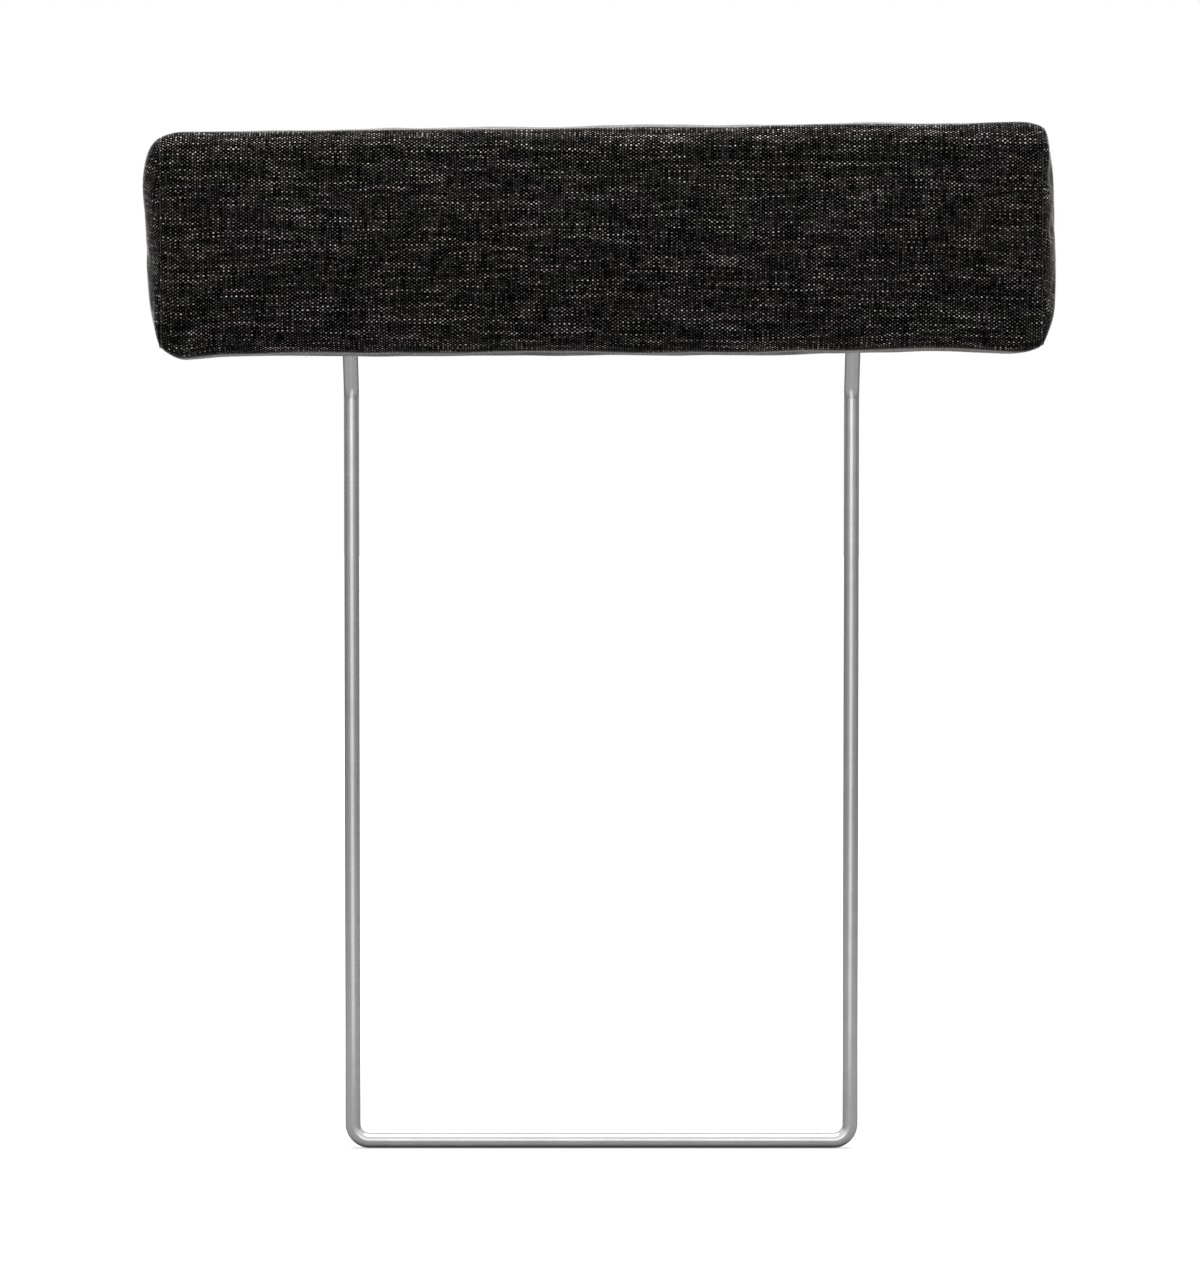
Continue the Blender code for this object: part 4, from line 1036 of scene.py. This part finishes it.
def material_wadding(tree):
    """White polyester wadding: matted fibres."""
    place = object_place(tree)
    fibres = noise(place, 420.0, Detail=5.0, Distortion=1.6)
    clumps = noise(place, 55.0, Detail=3.0)
    colour = mix_colour(fibres, (0.66, 0.66, 0.63), (0.90, 0.90, 0.88))
    colour = mix_colour(remap(clumps, 0.4, 0.7, 0.0, 0.3), colour, (0.74, 0.73, 0.68))
    return dict(Base_Color=colour, Roughness=0.95, Sheen_Weight=0.3, Normal=raised(fibres, 0.8, 0.0008))


def material_foam(tree):
    """Cream cushion foam with open cells, painted darker towards each cell's middle as shade in the pores."""
    place = object_place(tree)
    cells = Signal(make_node(tree, "ShaderNodeTexVoronoi", Vector=place, Scale=750.0), "Distance")
    colour = mix_colour(noise(place, 40.0, Detail=3.0), (0.72, 0.66, 0.47), (0.84, 0.80, 0.64))
    # Painted shade: the colour darkens towards the middle of each cell, where the bump sinks a pore.
    colour = mix_colour(remap(cells, 0.0, 0.5, 0.55, 0.0), colour, (0.42, 0.37, 0.24))
    return dict(Base_Color=colour, Roughness=0.9, Normal=raised(cells, 0.7, 0.0006))


def material_plywood(tree):
    """Birch plywood: grain along X on its faces and nine plies on its edges."""
    place = object_place(tree)
    ply = (parts_of(place)[1] * 750.0).step("FLOOR").step("FLOORED_MODULO", 2.0)
    grain = noise(vector_maths("MULTIPLY", place, (6.0, 60.0, 160.0)), Detail=6.0, Distortion=0.8)
    colour = mix_colour(remap(grain, 0.35, 0.68), (0.66, 0.49, 0.29), (0.44, 0.29, 0.15))
    colour = mix_colour(ply * 0.35, colour, (0.36, 0.22, 0.11))
    return dict(Base_Color=colour, Roughness=0.7, Normal=raised(grain, 0.3, 0.0003))


def material_metal(tree, dark, light, rough, scale):
    """Plated or lacquered small metal with mottling and fine scratches."""
    wear = use_group(tree, wear_group(), Vector=object_place(tree), Scale=scale)
    return dict(Base_Color=mix_colour(remap(wear["Mottle"], 0.35, 0.7), dark, light), Metallic=1.0,
                Roughness=remap(wear["Scratch"], 0.0, 1.0, rough, rough + 0.15),
                Normal=raised(wear["Scratch"], 0.1, 0.0001))


def material_moulded(tree, dark, light, rough):
    """Moulded plastic or nylon with a faint grain."""
    mottle = use_group(tree, wear_group(), Vector=object_place(tree), Scale=700.0)["Mottle"]
    return dict(Base_Color=mix_colour(mottle, dark, light), Roughness=remap(mottle, 0.2, 0.8, rough, rough + 0.12),
                Normal=raised(mottle, 0.25, 0.0002))


def material_tape(tree):
    """Black woven zip tape: fine ribs across it in a herringbone, painted lighter on the raised ribs and darker between
    them as highlight and shade.
    """
    x, _, z = parts_of(object_place(tree))
    along, across = x * (2 * math.pi / 0.0007), z * (2 * math.pi / 0.0009)
    share = remap(along.step("SINE") * (across + along * 0.5).step("SINE"), -1.0, 1.0)
    # Painted highlight and shade: the tape is lighter where its ribs are raised and darker in the dips between them.
    return dict(Base_Color=mix_colour(share, (0.008, 0.008, 0.009), (0.034, 0.033, 0.034)), Roughness=0.85,
                Sheen_Weight=0.2, Normal=raised(share, 0.5, 0.0002))


def material_thread(tree, colour):
    """Twisted sewing thread, painted lighter on the crest of each turn and darker between turns as highlight and shade.
    """
    x, y, z = parts_of(object_place(tree))
    share = remap(((x + (z + y)) * (2 * math.pi / 0.0005)).step("SINE"), -1.0, 1.0)
    # Painted highlight and shade: the thread's colour is raised 2.2 times where the twist's bump is high and lowered to
    # 0.4 times where it is low.
    twist_shade_and_highlight = mix_colour(share, tuple(0.4 * c for c in colour), tuple(2.2 * c for c in colour))
    return dict(Base_Color=twist_shade_and_highlight, Roughness=0.6, Sheen_Weight=0.2, Normal=raised(share, 0.4, 0.0001))


def finish(name, maker, **values):
    """The material of that name. It is made the first time it is asked for, and its maker gives what goes into
    its shader."""
    material = bpy.data.materials.get(name)
    if material is None:
        material = bpy.data.materials.new(name)
        material.use_nodes = True
        tree = material.node_tree
        fill(tree.nodes["Principled BSDF"], **maker(tree, **values))
    return material


def dress(piece, material, body="headrest", replaces=()):
    """Gives a new piece its material and body, and hides the CAD nodes that it stands for."""
    piece.data.materials.clear()
    piece.data.materials.append(material)
    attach(piece, body)
    if replaces:
        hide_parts(*replaces)
    return piece


def paint_nodes(material, start):
    """Puts a material on every CAD node whose name starts with some word."""
    for name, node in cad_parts.items():
        if name.startswith(start) and not node.hide_render:
            for place in node.material_slots:
                place.material = material
            if not node.material_slots:
                node.data.materials.append(material)


# ---------------------------------------------------------------- operators

STUFFED = {}


def stuffed_cover(settings):
    """The cover's stuffed height fields, worked out once."""
    if "fields" not in STUFFED:
        STUFFED["fields"] = stuffed(settings)
    return STUFFED["fields"]


def soften(piece, thickness=None):
    """Subdivides a piece of fabric and gives it its thickness inwards."""
    smooth = piece.modifiers.new("Smooth cloth", "SUBSURF")
    smooth.levels = smooth.render_levels = 1
    if thickness is not None:
        wall = piece.modifiers.new("Cloth thickness", "SOLIDIFY")
        wall.thickness, wall.offset, wall.use_rim = thickness, -1.0, True


class HEADREST_OT_rod_frame(bpy.types.Operator):
    """Make the bent steel rod"""
    bl_idname = "headrest.rod_frame"
    bl_label = "Rod frame"

    def execute(self, context):
        settings = context.scene.headrest_frame
        steel = finish("Satin steel", material_steel, settings=settings)
        dress(make_piece("rod_frame_drawn", *rod(settings)), steel, replaces=["steel_rod_frame"])
        return {"FINISHED"}


class HEADREST_OT_cover(bpy.types.Operator):
    """Make the tweed cover: the wrapped panel and its two bulged ends"""
    bl_idname = "headrest.cover"
    bl_label = "Tweed cover"

    def execute(self, context):
        settings = context.scene.headrest_cushion
        fields = stuffed_cover(settings)
        tweed = finish("Tweed", material_tweed, settings=settings)
        pieces = [("cover_panel_sewn", "cover_main_panel", main_panel(settings, fields))]
        pieces += [("cover_end_sewn_" + word, "cover_end_" + word, end_panel(settings, fields, side))
                   for side, word in SIDES]
        for name, node, shape in pieces:
            piece = make_piece(name, *shape)
            soften(piece, settings.fabric_thickness)
            dress(piece, tweed, replaces=[node])
        return {"FINISHED"}


class HEADREST_OT_wadding(bpy.types.Operator):
    """Make the layer of wadding under the cover"""
    bl_idname = "headrest.wadding"
    bl_label = "Wadding"

    def execute(self, context):
        settings = context.scene.headrest_cushion
        fibre = finish("Polyester wadding", material_wadding)
        pieces = [("wadding_wrap_soft", "wadding_wrap", wadding_wrap(settings, stuffed_cover(settings)))]
        pieces += [("wadding_end_soft_" + word, "wadding_end_" + word, wadding_end(side)) for side, word in SIDES]
        for name, node, shape in pieces:
            piece = make_piece(name, *shape)
            dress(piece, fibre, replaces=[node])
            soften(piece)
        return {"FINISHED"}


class HEADREST_OT_core(bpy.types.Operator):
    """Make the foam blocks and finish the board with its saddles, screws and rod caps"""
    bl_idname = "headrest.core"
    bl_label = "Foam and board"

    def execute(self, context):
        foam = finish("Cushion foam", material_foam)
        for word in ("front", "back"):
            block = rounded_copy(word + "_foam", word + "_foam_cut", 0.0012)
            dress(block, foam, replaces=[word + "_foam"])
        paint_nodes(finish("Plywood", material_plywood), "backing_board")
        zinc = finish("Zinc plating", material_metal, dark=(0.50, 0.50, 0.47), light=(0.68, 0.68, 0.66),
                      rough=0.3, scale=260.0)
        paint_nodes(zinc, "rod_saddle")
        paint_nodes(zinc, "saddle_screw")
        plastic = finish("Black plastic", material_moulded, dark=(0.018, 0.018, 0.018), light=(0.034, 0.034, 0.034),
                         rough=0.5)
        paint_nodes(plastic, "rod_end_cap")
        return {"FINISHED"}


class HEADREST_OT_zip(bpy.types.Operator):
    """Make the zip: tapes, coils, stops, slider and pull"""
    bl_idname = "headrest.zip"
    bl_label = "Zip"

    def execute(self, context):
        settings = context.scene.headrest_zip
        nylon = finish("Zip nylon", material_moulded, dark=(0.016, 0.016, 0.017), light=(0.030, 0.030, 0.032),
                       rough=0.28)
        cloth = finish("Zip tape cloth", material_tape)
        metal = finish("Zip lacquer", material_metal, dark=(0.07, 0.07, 0.072), light=(0.12, 0.12, 0.122),
                       rough=0.32, scale=500.0)
        for side, word in ((1, "upper"), (-1, "lower")):
            strip = make_piece("zip_tape_woven_" + word, *tape(side))
            dress(strip, cloth, replaces=["zip_tape_" + word])
            teeth = make_piece("zip_coil_wound_" + word, *coil(settings, side))
            dress(teeth, nylon, replaces=["zip_coil_" + word])
        for node, radius, body in (("zip_slider", 0.00022, "slider"), ("zip_pull", 0.00028, "pull_tab")):
            dress(rounded_copy(node, node + "_cast", radius), metal, body=body, replaces=[node])
        paint_nodes(metal, "zip_stop")
        return {"FINISHED"}


class HEADREST_OT_stitching(bpy.types.Operator):
    """Make the topstitching round the zip and the stitched rings round the rods"""
    bl_idname = "headrest.stitching"
    bl_label = "Stitching"

    def execute(self, context):
        settings, cushion = context.scene.headrest_zip, context.scene.headrest_cushion
        thread = finish("Black thread", material_thread, colour=tuple(settings.thread))
        shapes = [("zip_topstitching", stitches(*topstitch_rows(settings)))]
        shapes += [("rod_buttonhole_" + word, buttonhole(side, stuffed_cover(cushion), cushion))
                   for side, word in SIDES]
        for name, shape in shapes:
            dress(make_piece(name, *shape), thread)
        return {"FINISHED"}


def seen_plainly(path):
    """1 for what the camera sees directly or through something clear, else 0."""
    return Signal(path, "Is Camera Ray").step("MAXIMUM", Signal(path, "Is Transmission Ray"))


def white_where_seen(tree, colour, near, far, pool):
    """Shader that is plain matte and glows where the camera sees it, so that it reads white. In reflections it
    glows only as a pool of light on the side that the front lamp stands on, away from the object."""
    matte = make_node(tree, "ShaderNodeBsdfDiffuse", Color=colour)
    path = tree.nodes.new("ShaderNodeLightPath")
    x, y, _ = parts_of(object_place(tree))
    radius = (x * x + y * y).step("SQRT")
    forward = y / (radius * -1.0)
    lit = remap(forward, 0.86, 0.97) * (remap(radius, 0.25, 0.7) * pool)
    strength = remap(radius, 0.25, 0.7, near, far) * seen_plainly(path) + lit * Signal(path, "Is Glossy Ray")
    glow = make_node(tree, "ShaderNodeEmission", Color=(1, 1, 1, 1), Strength=strength)
    return Signal(make_node(tree, "ShaderNodeAddShader", i0=Signal(matte), i1=Signal(glow)))


def light_tent(tree, strength):
    """Strength of the world, which is a white tent round the object that is open and dark towards the camera's
    side and has a dark pole at either end. The camera itself sees plain white, so that the background is white."""
    x, y, z = parts_of(Signal(tree.nodes.new("ShaderNodeTexCoord"), "Generated"))
    path = tree.nodes.new("ShaderNodeLightPath")
    glossy, plain = Signal(path, "Is Glossy Ray"), seen_plainly(path)
    sideways = x.step("ABSOLUTE")
    walls = remap(y, -0.85, -0.2, 0.25 * strength, strength) + remap(sideways, 0.5, 0.9, 0.0, 4.5 * strength)
    mirrored = remap(sideways, 0.80, 0.97, 1.05, 0.45) * remap(z, 0.05, 0.45, 1.0, 1.6)
    level = glossy * mirrored + (1.0 - glossy) * walls
    return (1.0 - plain) * level + plain


def area_lamp(name, place, target, size, power):
    """Soft rectangular lamp that faces a point."""
    lamp = bpy.data.lights.new(name, "AREA")
    lamp.shape = "RECTANGLE"
    lamp.size, lamp.size_y = size
    lamp.energy = power
    piece = bpy.data.objects.new(name, lamp)
    bpy.context.scene.collection.objects.link(piece)
    piece.location = place
    piece.rotation_euler = (Vector(target) - Vector(place)).to_track_quat("-Z", "Y").to_euler()


class HEADREST_OT_stage(bpy.types.Operator):
    """Set up the camera, the white floor, the soft lamps and the world"""
    bl_idname = "headrest.stage"
    bl_label = "Studio"

    def execute(self, context):
        settings, scene = context.scene.headrest_stage, context.scene
        tilt = settings.camera_tilt
        data = bpy.data.cameras.new("Camera")
        data.lens, data.sensor_width, data.clip_start, data.clip_end = settings.lens, 36.0, 0.01, 60.0
        camera = bpy.data.objects.new("Camera", data)
        scene.collection.objects.link(camera)
        camera.location = (settings.aim_side, -settings.camera_distance * math.cos(tilt),
                           settings.aim_height + settings.camera_distance * math.sin(tilt))
        camera.rotation_euler = (math.pi / 2 - tilt, 0.0, 0.0)
        scene.camera = camera

        rings = np.array([0.3, 0.7, 1.5, 4.0, 12.0])
        points = rings[:, None, None] * np.pad(circle(1.0, 96), ((0, 0), (0, 1)))[None]
        faces = grid_faces(len(rings), 96, wrap=True)[:, ::-1].tolist() + [list(range(96))]
        floor = make_piece("floor", points, faces, smooth=False)
        material = bpy.data.materials.new("White floor")
        material.use_nodes = True
        tree = material.node_tree
        tree.nodes.remove(tree.nodes["Principled BSDF"])
        white = white_where_seen(tree, colour=(0.38, 0.38, 0.38, 1), near=0.52, far=1.0, pool=1.0)
        fill(tree.nodes["Material Output"], Surface=white)
        floor.data.materials.append(material)

        area_lamp("front_soft", place=(-0.1, -3.4, 0.85), target=(0.0, 0.0, 0.33), size=(2.5, 1.0),
                  power=settings.front_lamp)
        area_lamp("top_soft", place=(0.0, 0.1, 2.4), target=(0.0, 0.0, 0.35), size=(2.4, 1.6),
                  power=settings.top_lamp)
        world = bpy.data.worlds.new("Studio")
        world.use_nodes = True
        scene.world = world
        tree = world.node_tree
        fill(tree.nodes["Background"], Color=(1, 1, 1, 1), Strength=light_tent(tree, settings.world_strength))
        scene.view_settings.view_transform = "Standard"
        return {"FINISHED"}


class HEADREST_PT_panel(bpy.types.Panel):
    """The headrest's settings and makers"""
    bl_idname = "HEADREST_PT_panel"
    bl_label = "Sofa headrest"
    bl_space_type = "VIEW_3D"
    bl_region_type = "UI"
    bl_category = "Headrest"

    def draw(self, context):
        for group, (_, operators) in SETTINGS.items():
            box = self.layout.box()
            values = getattr(context.scene, group)
            for name in values.__annotations__:
                box.prop(values, name)
            for operator in operators:
                box.operator(operator.bl_idname)


# Each group of settings, with its class and the operators that use it.
SETTINGS = {
    "headrest_frame": (HeadrestFrameSettings, (HEADREST_OT_rod_frame,)),
    "headrest_cushion": (HeadrestCushionSettings, (HEADREST_OT_cover, HEADREST_OT_wadding, HEADREST_OT_core)),
    "headrest_zip": (HeadrestZipSettings, (HEADREST_OT_zip, HEADREST_OT_stitching)),
    "headrest_stage": (HeadrestStageSettings, (HEADREST_OT_stage,)),
}
CLASSES = [kind for kind, _ in SETTINGS.values()]
CLASSES += [operator for _, operators in SETTINGS.values() for operator in operators]
CLASSES.append(HEADREST_PT_panel)


def register():
    """Makes the settings, operators and panel known."""
    for kind in CLASSES:
        bpy.utils.register_class(kind)
    for name, (kind, _) in SETTINGS.items():
        setattr(bpy.types.Scene, name, bpy.props.PointerProperty(type=kind))


def unregister():
    """Takes the settings, operators and panel away."""
    for name in SETTINGS:
        delattr(bpy.types.Scene, name)
    for kind in reversed(CLASSES):
        bpy.utils.unregister_class(kind)


def main():
    """Registers the add-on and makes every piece."""
    register()
    bpy.ops.headrest.stage()
    bpy.ops.headrest.rod_frame()
    bpy.ops.headrest.cover()
    bpy.ops.headrest.wadding()
    bpy.ops.headrest.core()
    bpy.ops.headrest.zip()
    bpy.ops.headrest.stitching()


if __name__ == "__main__":
    main()
